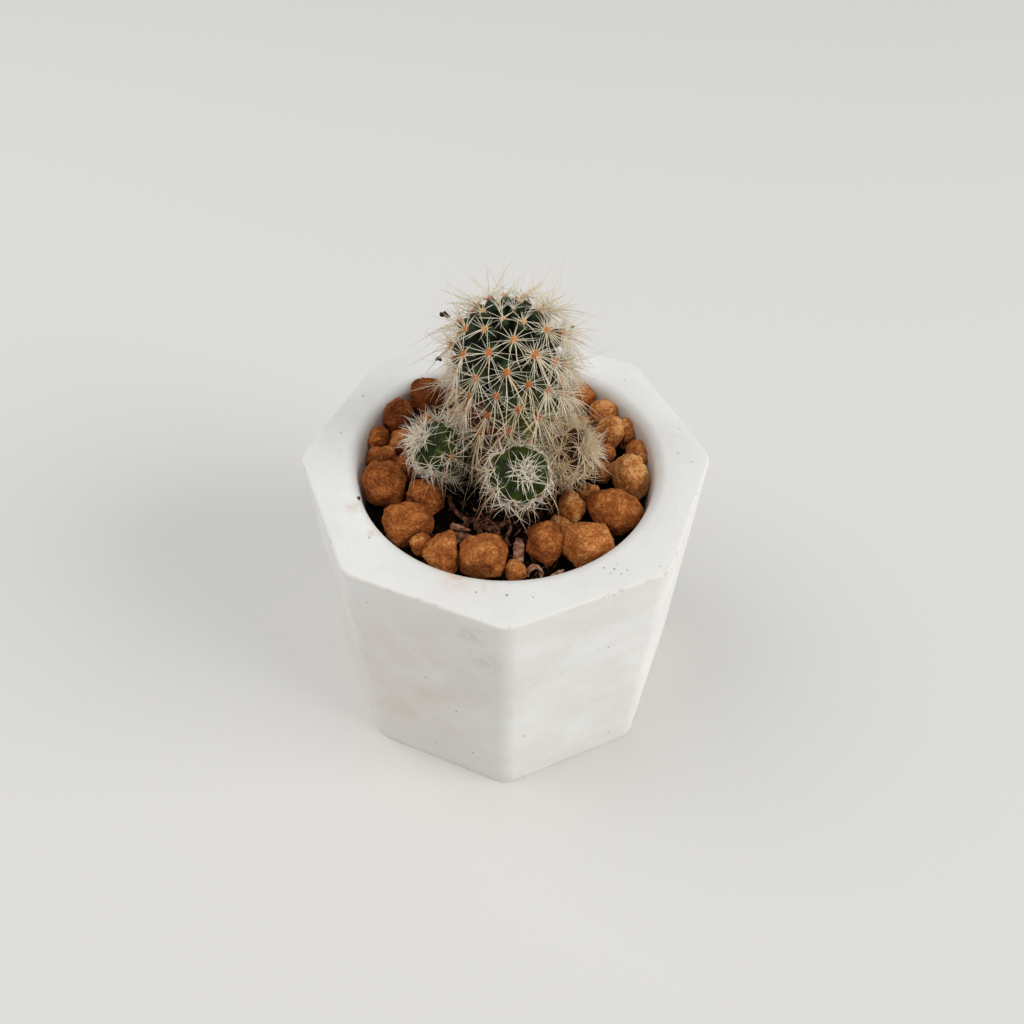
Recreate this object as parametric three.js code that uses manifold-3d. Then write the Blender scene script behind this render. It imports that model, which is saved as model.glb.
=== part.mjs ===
// A small clustering cactus in an eight-sided cast pot: the pot, the potting soil, the main stem with
// three offsets, a top dressing of baked clay granules, and the litter that lies between them.
// Millimetres, +Z up. The origin is the middle of the pot's base, on the surface it stands on, and one
// corner of the pot points along -Y.

import * as THREE from "three";
import { ConvexGeometry } from "three/addons/geometries/ConvexGeometry.js";
import { mergeVertices } from "three/addons/utils/BufferGeometryUtils.js";
import Module from "manifold-3d";

const wasm = await Module();
wasm.setup();

// ---------------------------------------------------------------- driving dimensions

const GAP = 0.3; // clearance kept between neighbouring pieces

const POT_SIDES = 8;
const POT_ACROSS_FLATS = 70;
const POT_HEIGHT = 58.6;
const POT_CORNER_RADIUS = 4.5; // rounding of the upright edges
const POT_EDGE_BEVEL = 0.55; // worn bevel round the rim and the foot
const CORNER_STEPS = 5; // facets in one rounded corner

const MOUTH_RADIUS = 29.6; // round opening, at the rim
const LIP_DEPTH = 2; // height of the rounded lip
const LIP_DRAFT = 2.2; // how far the lip draws in
const CAVITY_FLOOR = 9; // height of the cavity's floor
const CAVITY_FLOOR_RADIUS = 23.6;
const CAVITY_STEPS = 72; // facets round the cavity

const SOIL_LEVEL = 50; // height of the soil's surface
const SOIL_STEPS = 48;
const ROOTING_DEPTH = 3; // how far the main stem stands in the soil

// The main stem: a short column with a flattened dome, leaning a little to -X.
const STEM = {
  crownBase: new THREE.Vector3(0.35, 4.3, 79.8), // middle of the dome's foot, on the leaning axis
  lean: 0.078, // radians
  tipRadius: 9.5, // to the tips of the tubercles
  footRadius: 6.4, // the old, narrow foot in the soil
  domeHeight: 8.06,
  areaPerTubercle: 22.9, // mm2 of skin to each grown tubercle
  crowding: 13.1, // how slowly the young tubercles at the crown spread apart
  firstAngle: 1.244, // radians, where the spiral starts
  tubercleHeight: 2,
  around: 46, // facets round the stem
};
const STEM_ROOM_STEPS = 36; // facets round the room that its neighbours leave it

// Offsets: where each body's middle is, which way it grows, and its radius.
const OFFSETS = [
  { name: "front_offset", middle: [2.2, -9.9, 63.9], grows: [0.18, -0.62, 0.77], radius: 5.1, neck: 8 },
  { name: "left_offset", middle: [-12.4, -0.9, 61.8], grows: [-0.6, -0.28, 0.75], radius: 4.7, neck: 9 },
  { name: "right_offset", middle: [11.2, -3.4, 63.2], grows: [0.66, -0.5, 0.56], radius: 4.3, neck: 8 },
];
const OFFSET_SHAPE = {
  domeShare: 0.92, // the dome's height as a share of the radius
  footShare: 0.5, // the neck's radius at its foot, likewise
  areaPerTubercle: 9,
  crowding: 4,
  tubercleHeight: 0.8,
  around: 26,
};

// Granules of the top dressing. x and y place the middle, then width, depth and height, and a turn in
// degrees about Z. A seventh number lifts a granule that lies on others.
const GRANULES = [
  // front and left, against the wall and inside it
  [-22.5, -3.2, 7.8, 9.4, 7.4, 8],
  [-17.6, -12.6, 9.0, 7.8, 7.2, -25],
  [-15.0, -17.0, 3.8, 3.8, 3.8, 20, 1.6],
  [-11.0, -19.6, 6.0, 7.0, 7.6, 15],
  [-4.0, -20.0, 8.5, 8.6, 8.0, -8],
  [1.4, -22.6, 3.5, 3.2, 3.6, 0, 1.2],
  [6.9, -16.9, 6.0, 7.4, 7.2, 10],
  [14.0, -17.4, 9.6, 8.6, 7.6, 20],
  [19.6, -9.6, 10.4, 8.4, 7.4, -20],
  [12.2, -8.4, 4.4, 6.2, 6.0, 10],
  [9.8, -11.6, 3.2, 3.4, 4.0, 0],
  [15.2, -4.4, 3.8, 3.4, 4.6, 0],
  [-15.0, -5.8, 7.2, 7.2, 6.0, 0],
  // right, towards the back
  [23.5, -0.9, 6.6, 9.2, 7.2, 22],
  [25.6, 5.2, 3.8, 5.6, 6.0, 0],
  [18.8, 1.6, 3.4, 3.6, 4.2, 0],
  [19.4, 6.0, 3.0, 4.2, 5.0, 10],
  [20.6, 10.8, 6.2, 5.6, 7.0, 30],
  [24.0, 11.7, 4.0, 5.6, 6.4, -15],
  [20.0, 16.4, 6.0, 5.4, 6.4, 10],
  [15.8, 21.0, 5.4, 5.6, 6.4, 0, 1],
  [14.6, 13.6, 4.6, 4.8, 5.0, 40],
  // back, behind the main stem
  [10.4, 23.4, 6.0, 5.4, 7.8, 10],
  [9.6, 17.6, 5.0, 5.0, 5.6, 0],
  [4.4, 23.2, 6.6, 6.4, 7.0, -10],
  [3.6, 17.2, 5.8, 4.8, 5.6, 20],
  [-2.4, 22.6, 6.6, 7.2, 7.6, 15],
  [-3.4, 16.4, 5.6, 4.6, 5.4, 0],
  [-9.0, 21.0, 6.2, 7.0, 6.8, -20],
  [-9.6, 14.6, 5.6, 5.4, 5.8, 10],
  // left, towards the back
  [-15.8, 19.4, 8.0, 7.4, 9.4, -30],
  [-21.6, 14.4, 6.4, 7.0, 8.0, 15],
  [-15.4, 12.6, 4.8, 4.8, 6.4, 0],
  [-25.0, 8.6, 4.8, 5.2, 7.0, 0],
  [-20.4, 8.4, 5.6, 5.2, 6.4, 10],
  [-24.4, 4.4, 7.4, 3.6, 4.6, -6, 1],
  [-18.6, 2.8, 5.2, 5.4, 5.4, 25],
  [-13.6, 6.6, 4.6, 5.6, 5.0, 0],
];
const STEM_CLEARANCE = 1.8; // room that the granules leave round the main stem's foot
const GRANULE_POINTS = 34; // corners of one granule, before its flats are cut
const GRANULE_SEED = 7;

// Litter. Chips have a length, width and thickness, and rods a route. Turns are in radians.
const CHIPS = [
  { name: "bark_chip", size: [5.4, 1.9, 1], at: [2.1, -17.6, 52.6], turn: [0.2, 0.25, 1.5], finish: "husk" },
  { name: "bark_flake", size: [5.2, 2, 0.8], at: [-8.8, -13.6, 51.4], turn: [0.5, -0.1, 0.1], finish: "bark" },
  { name: "pale_flake", size: [2.9, 1.3, 0.6], at: [-8.8, -10.9, 51.1], turn: [0.2, 0.1, -0.1], finish: "husk" },
  { name: "sliver", size: [3.4, 0.9, 0.5], at: [8.7, -21.9, 51.4], turn: [0, -0.3, 0.5], finish: "husk" },
];
const TWIG = {
  radius: 0.45,
  sides: 7,
  route: [
    [-10.6, -3.4, 51.0],
    [-10.3, -5.6, 51.6],
    [-8.9, -7.8, 51.4],
    [-6.9, -9.4, 50.9],
  ],
};
const ROOTLET = {
  radius: 0.3,
  sides: 6,
  route: [
    [0.4, -9.6, 51.2],
    [0.9, -11.6, 51.5],
    [0.1, -13.2, 51.0],
    [0.6, -15.0, 50.8],
  ],
};
const ROD_STEPS = 10;
const HUSK = {
  radius: 1.5,
  thickness: 0.35,
  width: 1.3,
  curl: Math.PI * 1.2, // how far round it bends
  at: [4.6, -21.9, 52.4],
  turn: [1.2, 0.3, -0.6],
};
const WITHERED = {
  radius: 1.7,
  height: 7.4,
  taper: 0.25, // how much narrower it gets towards its top
  folds: 7,
  foldDepth: 0.16, // as a share of its radius
  rings: 9,
  at: [16.2, 5.4],
  turn: [0.1, -0.12, 0],
};

// ---------------------------------------------------------------- colours

const FINISH = {
  pot: { color: 0xe4e1dc, roughness: 0.86, metalness: 0 },
  soil: { color: 0x1a100b, roughness: 0.97, metalness: 0 },
  stem: { color: 0x2c4a2a, roughness: 0.55, metalness: 0 },
  offset: { color: 0x2f5426, roughness: 0.52, metalness: 0 },
  granule: { color: 0xa0622f, roughness: 0.93, metalness: 0 },
  bark: { color: 0x5b3825, roughness: 0.92, metalness: 0 },
  husk: { color: 0xb98d74, roughness: 0.9, metalness: 0 },
  dry: { color: 0xa8968c, roughness: 0.95, metalness: 0 },
};

// ---------------------------------------------------------------- helpers

// A repeatable stream of numbers from 0 to 1.
function randomStream(seed) {
  let state = seed >>> 0;
  return () => {
    state = (Math.imul(state, 1664525) + 1013904223) >>> 0;
    return state / 4294967296;
  };
}

// A three.js geometry as a manifold-3d solid.
function toSolid(geometry) {
  const bare = geometry.clone();
  bare.deleteAttribute("normal");
  bare.deleteAttribute("uv");
  const merged = mergeVertices(bare, 1e-4);
  return new wasm.Manifold(
    new wasm.Mesh({
      numProp: 3,
      vertProperties: new Float32Array(merged.attributes.position.array),
      triVerts: new Uint32Array(merged.index.array),
    }),
  );
}

// A manifold-3d solid as a three.js geometry.
function toGeometry(solid) {
  const mesh = solid.getMesh();
  const geometry = new THREE.BufferGeometry();
  geometry.setAttribute("position", new THREE.BufferAttribute(mesh.vertProperties, 3));
  geometry.setIndex(new THREE.BufferAttribute(mesh.triVerts, 1));
  geometry.computeVertexNormals();
  return geometry;
}

// A lathe about +Z from [radius, height] pairs, given from the bottom of the axis to its top.
function turned(profile, steps) {
  const points = profile.map(([radius, height]) => new THREE.Vector2(radius, height));
  return new THREE.LatheGeometry(points, steps).rotateX(Math.PI / 2);
}

function piece(name, geometry, finish) {
  const mesh = new THREE.Mesh(geometry, new THREE.MeshStandardMaterial(finish));
  mesh.name = name;
  return mesh;
}

// ---------------------------------------------------------------- pot and soil

// Radius of the cavity's wall at a height.
function cavityRadius(height) {
  const lipFoot = POT_HEIGHT - LIP_DEPTH;
  const wallTop = MOUTH_RADIUS - LIP_DRAFT;
  const share = THREE.MathUtils.clamp((height - CAVITY_FLOOR) / (lipFoot - CAVITY_FLOOR), 0, 1);
  return CAVITY_FLOOR_RADIUS + share * (wallTop - CAVITY_FLOOR_RADIUS);
}

// The pot's plan: a regular polygon with rounded corners.
function potPlan() {
  const shape = new THREE.Shape();
  const half = Math.PI / POT_SIDES;
  const centreDistance = (POT_ACROSS_FLATS / 2 - POT_CORNER_RADIUS) / Math.cos(half);
  for (let corner = 0; corner < POT_SIDES; corner++) {
    const towards = (corner * 2 * Math.PI) / POT_SIDES;
    for (let step = 0; step <= CORNER_STEPS; step++) {
      const angle = towards - half + (2 * half * step) / CORNER_STEPS;
      const x = centreDistance * Math.cos(towards) + POT_CORNER_RADIUS * Math.cos(angle);
      const y = centreDistance * Math.sin(towards) + POT_CORNER_RADIUS * Math.sin(angle);
      if (corner === 0 && step === 0) shape.moveTo(x, y);
      else shape.lineTo(x, y);
    }
  }
  shape.closePath();
  return shape;
}

function makePot() {
  const block = new THREE.ExtrudeGeometry(potPlan(), {
    depth: POT_HEIGHT - 2 * POT_EDGE_BEVEL,
    bevelEnabled: true,
    bevelSize: POT_EDGE_BEVEL,
    bevelOffset: -POT_EDGE_BEVEL,
    bevelThickness: POT_EDGE_BEVEL,
    bevelSegments: 1,
    curveSegments: 1,
  }).translate(0, 0, POT_EDGE_BEVEL);
  const lipSteps = 4;
  const profile = [
    [0, CAVITY_FLOOR],
    [CAVITY_FLOOR_RADIUS - 2, CAVITY_FLOOR],
    [cavityRadius(CAVITY_FLOOR + 2), CAVITY_FLOOR + 2],
  ];
  for (let step = 0; step <= lipSteps; step++) {
    const angle = (step / lipSteps) * (Math.PI / 2);
    const radius = MOUTH_RADIUS - LIP_DRAFT * Math.cos(angle);
    profile.push([radius, POT_HEIGHT - LIP_DEPTH * (1 - Math.sin(angle))]);
  }
  profile.push([MOUTH_RADIUS, POT_HEIGHT + 2], [0, POT_HEIGHT + 2]);
  const cavity = turned(profile, CAVITY_STEPS);
  return toGeometry(toSolid(block).subtract(toSolid(cavity)));
}

// The soil fills the cavity up to its level, with a pocket for the main stem's foot.
function makeSoil(pocket) {
  const fill = turned(
    [
      [0, CAVITY_FLOOR + GAP],
      [CAVITY_FLOOR_RADIUS - 2 - GAP, CAVITY_FLOOR + GAP],
      [cavityRadius(CAVITY_FLOOR + 2) - GAP, CAVITY_FLOOR + 2 + GAP],
      [cavityRadius(SOIL_LEVEL) - GAP, SOIL_LEVEL],
      [0, SOIL_LEVEL],
    ],
    SOIL_STEPS,
  );
  return toGeometry(toSolid(fill).subtract(pocket));
}

// ---------------------------------------------------------------- stems

const GOLDEN_ANGLE = THREE.MathUtils.degToRad(137.508);

// A stem's outline in steps from the middle of its crown down its side, with the skin's area above
// each step. The dome is a quarter ellipse and the rest a column that may narrow to its foot.
function stemOutline({ radius, domeHeight, columnLength, footRadius, domeSteps, columnSteps }) {
  const outline = [];
  for (let step = 0; step <= domeSteps; step++) {
    const angle = (step / domeSteps) * (Math.PI / 2);
    outline.push({ r: radius * Math.sin(angle), z: domeHeight * Math.cos(angle) });
  }
  for (let step = 1; step <= columnSteps; step++) {
    const share = step / columnSteps;
    outline.push({ r: THREE.MathUtils.lerp(radius, footRadius, share ** 3), z: -columnLength * share });
  }
  let area = 0;
  outline.forEach((point, index) => {
    const before = outline[Math.max(0, index - 1)];
    area += Math.PI * (point.r + before.r) * Math.hypot(point.r - before.r, point.z - before.z);
    point.area = area;
  });
  return outline;
}

// The tubercles' tips: a golden-angle spiral from the crown, each with its share of the skin.
function tubercleTips(outline, { areaPerTubercle, crowding, firstAngle }) {
  const tips = [];
  const lastArea = outline.at(-1).area;
  for (let n = 1; ; n++) {
    const area = (areaPerTubercle * n * n) / (n + crowding);
    if (area >= lastArea) return tips;
    const next = outline.findIndex((point) => point.area > area);
    const upper = outline[next - 1];
    const lower = outline[next];
    const share = (area - upper.area) / (lower.area - upper.area);
    const r = THREE.MathUtils.lerp(upper.r, lower.r, share);
    const z = THREE.MathUtils.lerp(upper.z, lower.z, share);
    const angle = n * GOLDEN_ANGLE + firstAngle;
    const reach = 0.62 * Math.sqrt((areaPerTubercle * n) / (n + crowding / 2));
    tips.push({ at: new THREE.Vector3(r * Math.cos(angle), r * Math.sin(angle), z), reach });
  }
}

// A closed stem along +Z whose skin rises to each tubercle's tip. It is a grid of rings, with a single
// point at the crown and at the foot.
function stemGeometry(outline, tips, tubercleHeight, around) {
  const skin = (point, angle) => {
    const at = new THREE.Vector3(point.r * Math.cos(angle), point.r * Math.sin(angle), point.z);
    let rise = 0;
    for (const tip of tips) {
      const near = at.distanceTo(tip.at) / tip.reach;
      if (near < 1) rise = Math.max(rise, 1 - near * near);
    }
    const inward = new THREE.Vector3(at.x, at.y, Math.max(at.z, 0)).normalize();
    return at.addScaledVector(inward, -tubercleHeight * (1 - rise));
  };
  const positions = [...skin(outline[0], 0).toArray()];
  const rings = outline.slice(1);
  rings.forEach((point, ring) => {
    for (let step = 0; step < around; step++) {
      const angle = ((step + (ring % 2) / 2) / around) * 2 * Math.PI;
      positions.push(...skin(point, angle).toArray());
    }
  });
  const foot = positions.length / 3;
  positions.push(0, 0, outline.at(-1).z);
  const index = [];
  const vertex = (ring, step) => 1 + ring * around + (step % around);
  for (let step = 0; step < around; step++) index.push(0, vertex(0, step), vertex(0, step + 1));
  for (let ring = 0; ring + 1 < rings.length; ring++) {
    const shift = ring % 2; // every other ring is turned by half a step
    for (let step = 0; step < around; step++) {
      const [a, b] = [vertex(ring, step), vertex(ring, step + 1)];
      const [c, d] = [vertex(ring + 1, step), vertex(ring + 1, step + 1)];
      if (shift) index.push(a, c, d, a, d, b);
      else index.push(a, c, b, b, c, d);
    }
  }
  const last = rings.length - 1;
  for (let step = 0; step < around; step++) index.push(foot, vertex(last, step + 1), vertex(last, step));
  const geometry = new THREE.BufferGeometry();
  geometry.setAttribute("position", new THREE.Float32BufferAttribute(positions, 3));
  geometry.setIndex(index);
  geometry.computeVertexNormals();
  return geometry;
}

// Places a stem along +Z in the pot: its axis turned to grow one way, its dome's foot at a point.
function standing(geometry, grows, at) {
  const turn = new THREE.Quaternion().setFromUnitVectors(new THREE.Vector3(0, 0, 1), grows);
  return geometry.applyQuaternion(turn).translate(at.x, at.y, at.z);
}

const stemGrows = new THREE.Vector3(-Math.sin(STEM.lean), 0, Math.cos(STEM.lean));
const stemColumn = (STEM.crownBase.z - SOIL_LEVEL + ROOTING_DEPTH) / Math.cos(STEM.lean);

const mainOutline = stemOutline({
  radius: STEM.tipRadius,
  domeHeight: STEM.domeHeight,
  columnLength: stemColumn,
  footRadius: STEM.footRadius,
  domeSteps: 10,
  columnSteps: 24,
});

function makeMainStem() {
  const tips = tubercleTips(mainOutline, STEM);
  const body = stemGeometry(mainOutline, tips, STEM.tubercleHeight, STEM.around);
  return standing(body, stemGrows, STEM.crownBase);
}

// The room that the main stem takes, with a gap round it: what a neighbour is cut back to.
function mainStemRoom() {
  const side = mainOutline.map(({ r, z }) => [r > 0 ? r + GAP : 0, z]);
  side[0][1] += GAP;
  side.push([side.at(-1)[0], -stemColumn - GAP], [0, -stemColumn - GAP]);
  return toSolid(standing(turned(side.reverse(), STEM_ROOM_STEPS), stemGrows, STEM.crownBase));
}

// An offset: a small round stem on a neck that starts at the main stem's skin.
function makeOffset({ middle, grows, radius, neck }, order, room) {
  const outline = stemOutline({
    radius,
    domeHeight: radius * OFFSET_SHAPE.domeShare,
    columnLength: neck,
    footRadius: radius * OFFSET_SHAPE.footShare,
    domeSteps: 8,
    columnSteps: 8,
  });
  const tips = tubercleTips(outline, { ...OFFSET_SHAPE, firstAngle: order * 2 });
  const body = stemGeometry(outline, tips, OFFSET_SHAPE.tubercleHeight, OFFSET_SHAPE.around);
  const placed = standing(body, new THREE.Vector3(...grows).normalize(), new THREE.Vector3(...middle));
  return toGeometry(toSolid(placed).subtract(room));
}

// ---------------------------------------------------------------- granules

// The point where the main stem's axis passes through the soil's surface.
const stemFoot = STEM.crownBase
  .clone()
  .addScaledVector(stemGrows, -(STEM.crownBase.z - SOIL_LEVEL) / stemGrows.z);

// Flats that a granule is cut back to: half-way to each neighbour, and in front of the main stem.
function flatsOf(granule, granules) {
  const flats = [];
  for (const other of granules) {
    if (other === granule) continue;
    const towards = other.middle.clone().sub(granule.middle);
    const distance = towards.length();
    towards.normalize();
    const own = reachAlong(granule, towards);
    const theirs = reachAlong(other, towards);
    flats.push({ normal: towards, offset: (distance * own) / (own + theirs) - GAP / 2 });
  }
  const toStem = new THREE.Vector3(stemFoot.x - granule.middle.x, stemFoot.y - granule.middle.y, 0);
  const clear = toStem.length() - STEM.footRadius - STEM_CLEARANCE;
  flats.push({ normal: toStem.normalize(), offset: clear });
  flats.push({ normal: new THREE.Vector3(0, 0, -1), offset: granule.middle.z - SOIL_LEVEL - GAP });
  return flats;
}

// How far a granule's ellipsoid reaches from its middle in one direction.
function reachAlong(granule, direction) {
  const local = direction.clone().applyAxisAngle(new THREE.Vector3(0, 0, 1), -granule.turn);
  return Math.hypot(local.x * granule.half.x, local.y * granule.half.y, local.z * granule.half.z);
}

// One granule: points spread over a blunt ellipsoid, pulled in to its flats and to the pot's wall, and
// wrapped in their convex hull.
function makeGranule(granule, granules, random) {
  const flats = flatsOf(granule, granules);
  const points = [];
  for (let n = 0; n < GRANULE_POINTS; n++) {
    const rise = 1 - (2 * (n + 0.5)) / GRANULE_POINTS;
    const angle = n * GOLDEN_ANGLE + random() * 0.7;
    const level = Math.sqrt(1 - rise * rise);
    const point = new THREE.Vector3(level * Math.cos(angle), level * Math.sin(angle), rise);
    const blunt = Math.max(Math.abs(point.x), Math.abs(point.y), Math.abs(point.z));
    point.multiplyScalar((0.93 + 0.17 * random()) / Math.pow(blunt, 0.3));
    point.multiply(granule.half).applyAxisAngle(new THREE.Vector3(0, 0, 1), granule.turn);
    for (const { normal, offset } of flats) {
      const beyond = point.dot(normal) - offset;
      if (beyond > 0) point.addScaledVector(normal, -beyond);
    }
    point.add(granule.middle);
    const wall = cavityRadius(point.z) - GAP;
    const out = Math.hypot(point.x, point.y);
    if (out > wall) point.set((point.x * wall) / out, (point.y * wall) / out, point.z);
    points.push(point);
  }
  return new ConvexGeometry(points);
}

function makeGranules() {
  const granules = GRANULES.map(([x, y, width, depth, height, turn, lift = 0]) => ({
    middle: new THREE.Vector3(x, y, SOIL_LEVEL + GAP + height / 2 + lift),
    half: new THREE.Vector3(width / 2, depth / 2, height / 2),
    turn: THREE.MathUtils.degToRad(turn),
  }));
  const random = randomStream(GRANULE_SEED);
  return granules.map((granule, index) => {
    const name = `granule_${String(index + 1).padStart(2, "0")}`;
    return piece(name, makeGranule(granule, granules, random), FINISH.granule);
  });
}

// ---------------------------------------------------------------- litter between the granules

// A thin chip: a blunt wedge, longest along its own X.
function makeChip(length, width, thickness) {
  const half = length / 2;
  const points = [];
  for (const side of [-1, 1]) {
    points.push(
      new THREE.Vector3(-half, side * width * 0.3, -thickness / 2),
      new THREE.Vector3(-half * 0.7, side * width * 0.5, thickness / 2),
      new THREE.Vector3(half * 0.4, side * width * 0.5, thickness / 2),
      new THREE.Vector3(half * 0.6, side * width * 0.42, -thickness / 2),
      new THREE.Vector3(half, side * width * 0.16, thickness * 0.1),
    );
  }
  return new ConvexGeometry(points);
}

// A dead rootlet or twig: a thin round rod along a curve.
function makeRod({ radius, sides, route }) {
  const section = new THREE.Shape();
  for (let side = 0; side < sides; side++) {
    const angle = (side / sides) * 2 * Math.PI;
    const [x, y] = [radius * Math.cos(angle), radius * Math.sin(angle)];
    if (side === 0) section.moveTo(x, y);
    else section.lineTo(x, y);
  }
  section.closePath();
  const path = new THREE.CatmullRomCurve3(route.map((point) => new THREE.Vector3(...point)));
  return new THREE.ExtrudeGeometry(section, { extrudePath: path, steps: ROD_STEPS, bevelEnabled: false });
}

// A curled husk: a strip of thin skin bent round most of a circle.
function makeHusk() {
  const strip = new THREE.Shape();
  strip.absarc(0, 0, HUSK.radius, 0, HUSK.curl, false);
  strip.absarc(0, 0, HUSK.radius - HUSK.thickness, HUSK.curl, 0, true);
  strip.closePath();
  return new THREE.ExtrudeGeometry(strip, { depth: HUSK.width, bevelEnabled: false, curveSegments: 8 });
}

// A withered offset: a shrunken, wrinkled body that stands on the soil.
function makeWitheredOffset() {
  const profile = [];
  for (let step = 0; step <= WITHERED.rings; step++) {
    const share = step / WITHERED.rings;
    const swell = Math.sin(Math.PI * share) ** 0.6 * (1 - WITHERED.taper * share);
    profile.push([WITHERED.radius * swell, WITHERED.height * share]);
  }
  const geometry = turned(profile, WITHERED.folds * 3);
  const position = geometry.attributes.position;
  for (let n = 0; n < position.count; n++) {
    const angle = Math.atan2(position.getY(n), position.getX(n));
    const pinch = 1 - (WITHERED.foldDepth * (1 + Math.cos(WITHERED.folds * angle))) / 2;
    position.setXY(n, position.getX(n) * pinch, position.getY(n) * pinch);
  }
  return geometry;
}

function makeLitter() {
  const chips = CHIPS.map(({ name, size, at, turn, finish }) => {
    const chip = piece(name, makeChip(...size), FINISH[finish]);
    chip.position.set(...at);
    chip.rotation.set(...turn);
    return chip;
  });
  const twig = piece("twig", makeRod(TWIG), FINISH.bark);
  const rootlet = piece("rootlet", makeRod(ROOTLET), FINISH.bark);

  const husk = piece("husk", makeHusk(), FINISH.husk);
  husk.position.set(...HUSK.at);
  husk.rotation.set(...HUSK.turn);

  const withered = piece("withered_offset", makeWitheredOffset(), FINISH.dry);
  withered.position.set(...WITHERED.at, SOIL_LEVEL + GAP);
  withered.rotation.set(...WITHERED.turn);
  return [...chips, twig, rootlet, husk, withered];
}

// ---------------------------------------------------------------- the whole plant

const plant = new THREE.Group();
const stemRoom = mainStemRoom();
plant.add(piece("pot", makePot(), FINISH.pot));
plant.add(piece("soil", makeSoil(stemRoom), FINISH.soil));
plant.add(piece("main_stem", makeMainStem(), FINISH.stem));
OFFSETS.forEach((offset, order) => {
  plant.add(piece(offset.name, makeOffset(offset, order, stemRoom), FINISH.offset));
});
plant.add(...makeGranules());
plant.add(...makeLitter());

export default plant;
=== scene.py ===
"""A small clustering cactus in an eight-sided cast pot, with a top dressing of baked clay granules.

Blender works in metres, +Z up, with the origin in the middle of the pot's base and one corner of
the pot towards -Y. The sizes in this file are millimetres, and meshes are made metres by MM.
"""

import logging
import math
from collections.abc import Callable, Iterator, Sequence
from contextlib import contextmanager
from dataclasses import dataclass, field, replace
from enum import Enum
from functools import partial, reduce

import bmesh
import bpy
import numpy as np
from mathutils import Matrix, Vector


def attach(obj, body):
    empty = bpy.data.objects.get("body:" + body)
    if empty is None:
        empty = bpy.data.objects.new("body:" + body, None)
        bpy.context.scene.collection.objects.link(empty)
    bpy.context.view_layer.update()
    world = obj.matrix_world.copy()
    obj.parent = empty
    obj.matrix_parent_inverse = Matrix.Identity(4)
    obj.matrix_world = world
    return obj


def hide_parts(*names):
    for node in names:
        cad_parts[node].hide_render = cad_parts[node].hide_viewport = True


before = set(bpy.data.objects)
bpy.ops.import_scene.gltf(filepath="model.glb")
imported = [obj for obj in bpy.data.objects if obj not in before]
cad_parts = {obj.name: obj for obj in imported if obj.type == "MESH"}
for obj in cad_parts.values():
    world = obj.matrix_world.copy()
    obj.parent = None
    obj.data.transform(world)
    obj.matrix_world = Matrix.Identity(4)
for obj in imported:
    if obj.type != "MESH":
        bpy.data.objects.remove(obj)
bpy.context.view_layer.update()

Tree = bpy.types.NodeTree
Node = bpy.types.Node
Socket = bpy.types.NodeSocket
Piece = bpy.types.Object
Triple = tuple[float, float, float]
Stop = tuple[float, str]

LOG = logging.getLogger("potted_cactus")
MM = 0.001
GOLDEN_ANGLE = math.radians(137.508)
NEAR = 1e-6


class Slot(Enum):
    """The record's material slots."""

    CONCRETE = "cast_concrete"
    SOIL = "potting_soil"
    STEM = "stem_skin"
    OFFSET = "offset_skin"
    CLAY = "baked_clay"
    BARK = "bark"
    HUSK = "dry_husk"
    WITHERED = "withered_skin"
    SPINE = "spine"
    WOOL = "areole_wool"


# ---------------------------------------------------------------- materials


def linear(colour: str) -> tuple[float, float, float, float]:
    """Turns an sRGB hex colour to linear.

    Args:
        colour: the colour, as "#RRGGBB".

    Returns:
        Red, green, blue and an alpha of 1.
    """
    parts = [int(colour[at : at + 2], 16) / 255 for at in (1, 3, 5)]
    red, green, blue = (p / 12.92 if p <= 0.04045 else ((p + 0.055) / 1.055) ** 2.4 for p in parts)
    return red, green, blue, 1.0


def add_node(
    tree: Tree,
    kind: str,
    values: dict[str | int, object] | None = None,
    links: dict[str | int, Socket] | None = None,
    stops: Sequence[Stop] = (),
    **settings: object,
) -> Node:
    """Adds a shader node.

    Args:
        tree: the material's node tree.
        kind: the node's type without "ShaderNode", such as "TexNoise".
        values: what its unlinked inputs are set to.
        links: the outputs that its inputs are linked to.
        stops: a colour ramp's stops, as places from 0 to 1 and hex colours.
        settings: the node's own settings.

    Returns:
        The node.
    """
    node = tree.nodes.new("ShaderNode" + kind)
    for name, value in settings.items():
        setattr(node, name, value)
    for name, value in (values or {}).items():
        node.inputs[name].default_value = linear(value) if isinstance(value, str) else value
    for name, output in (links or {}).items():
        tree.links.new(output, node.inputs[name])
    for index, (place, colour) in enumerate(stops):
        ramp = node.color_ramp.elements
        stop = ramp[index] if index < len(ramp) else ramp.new(place)
        stop.position, stop.color = place, linear(colour)
    return node


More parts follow.
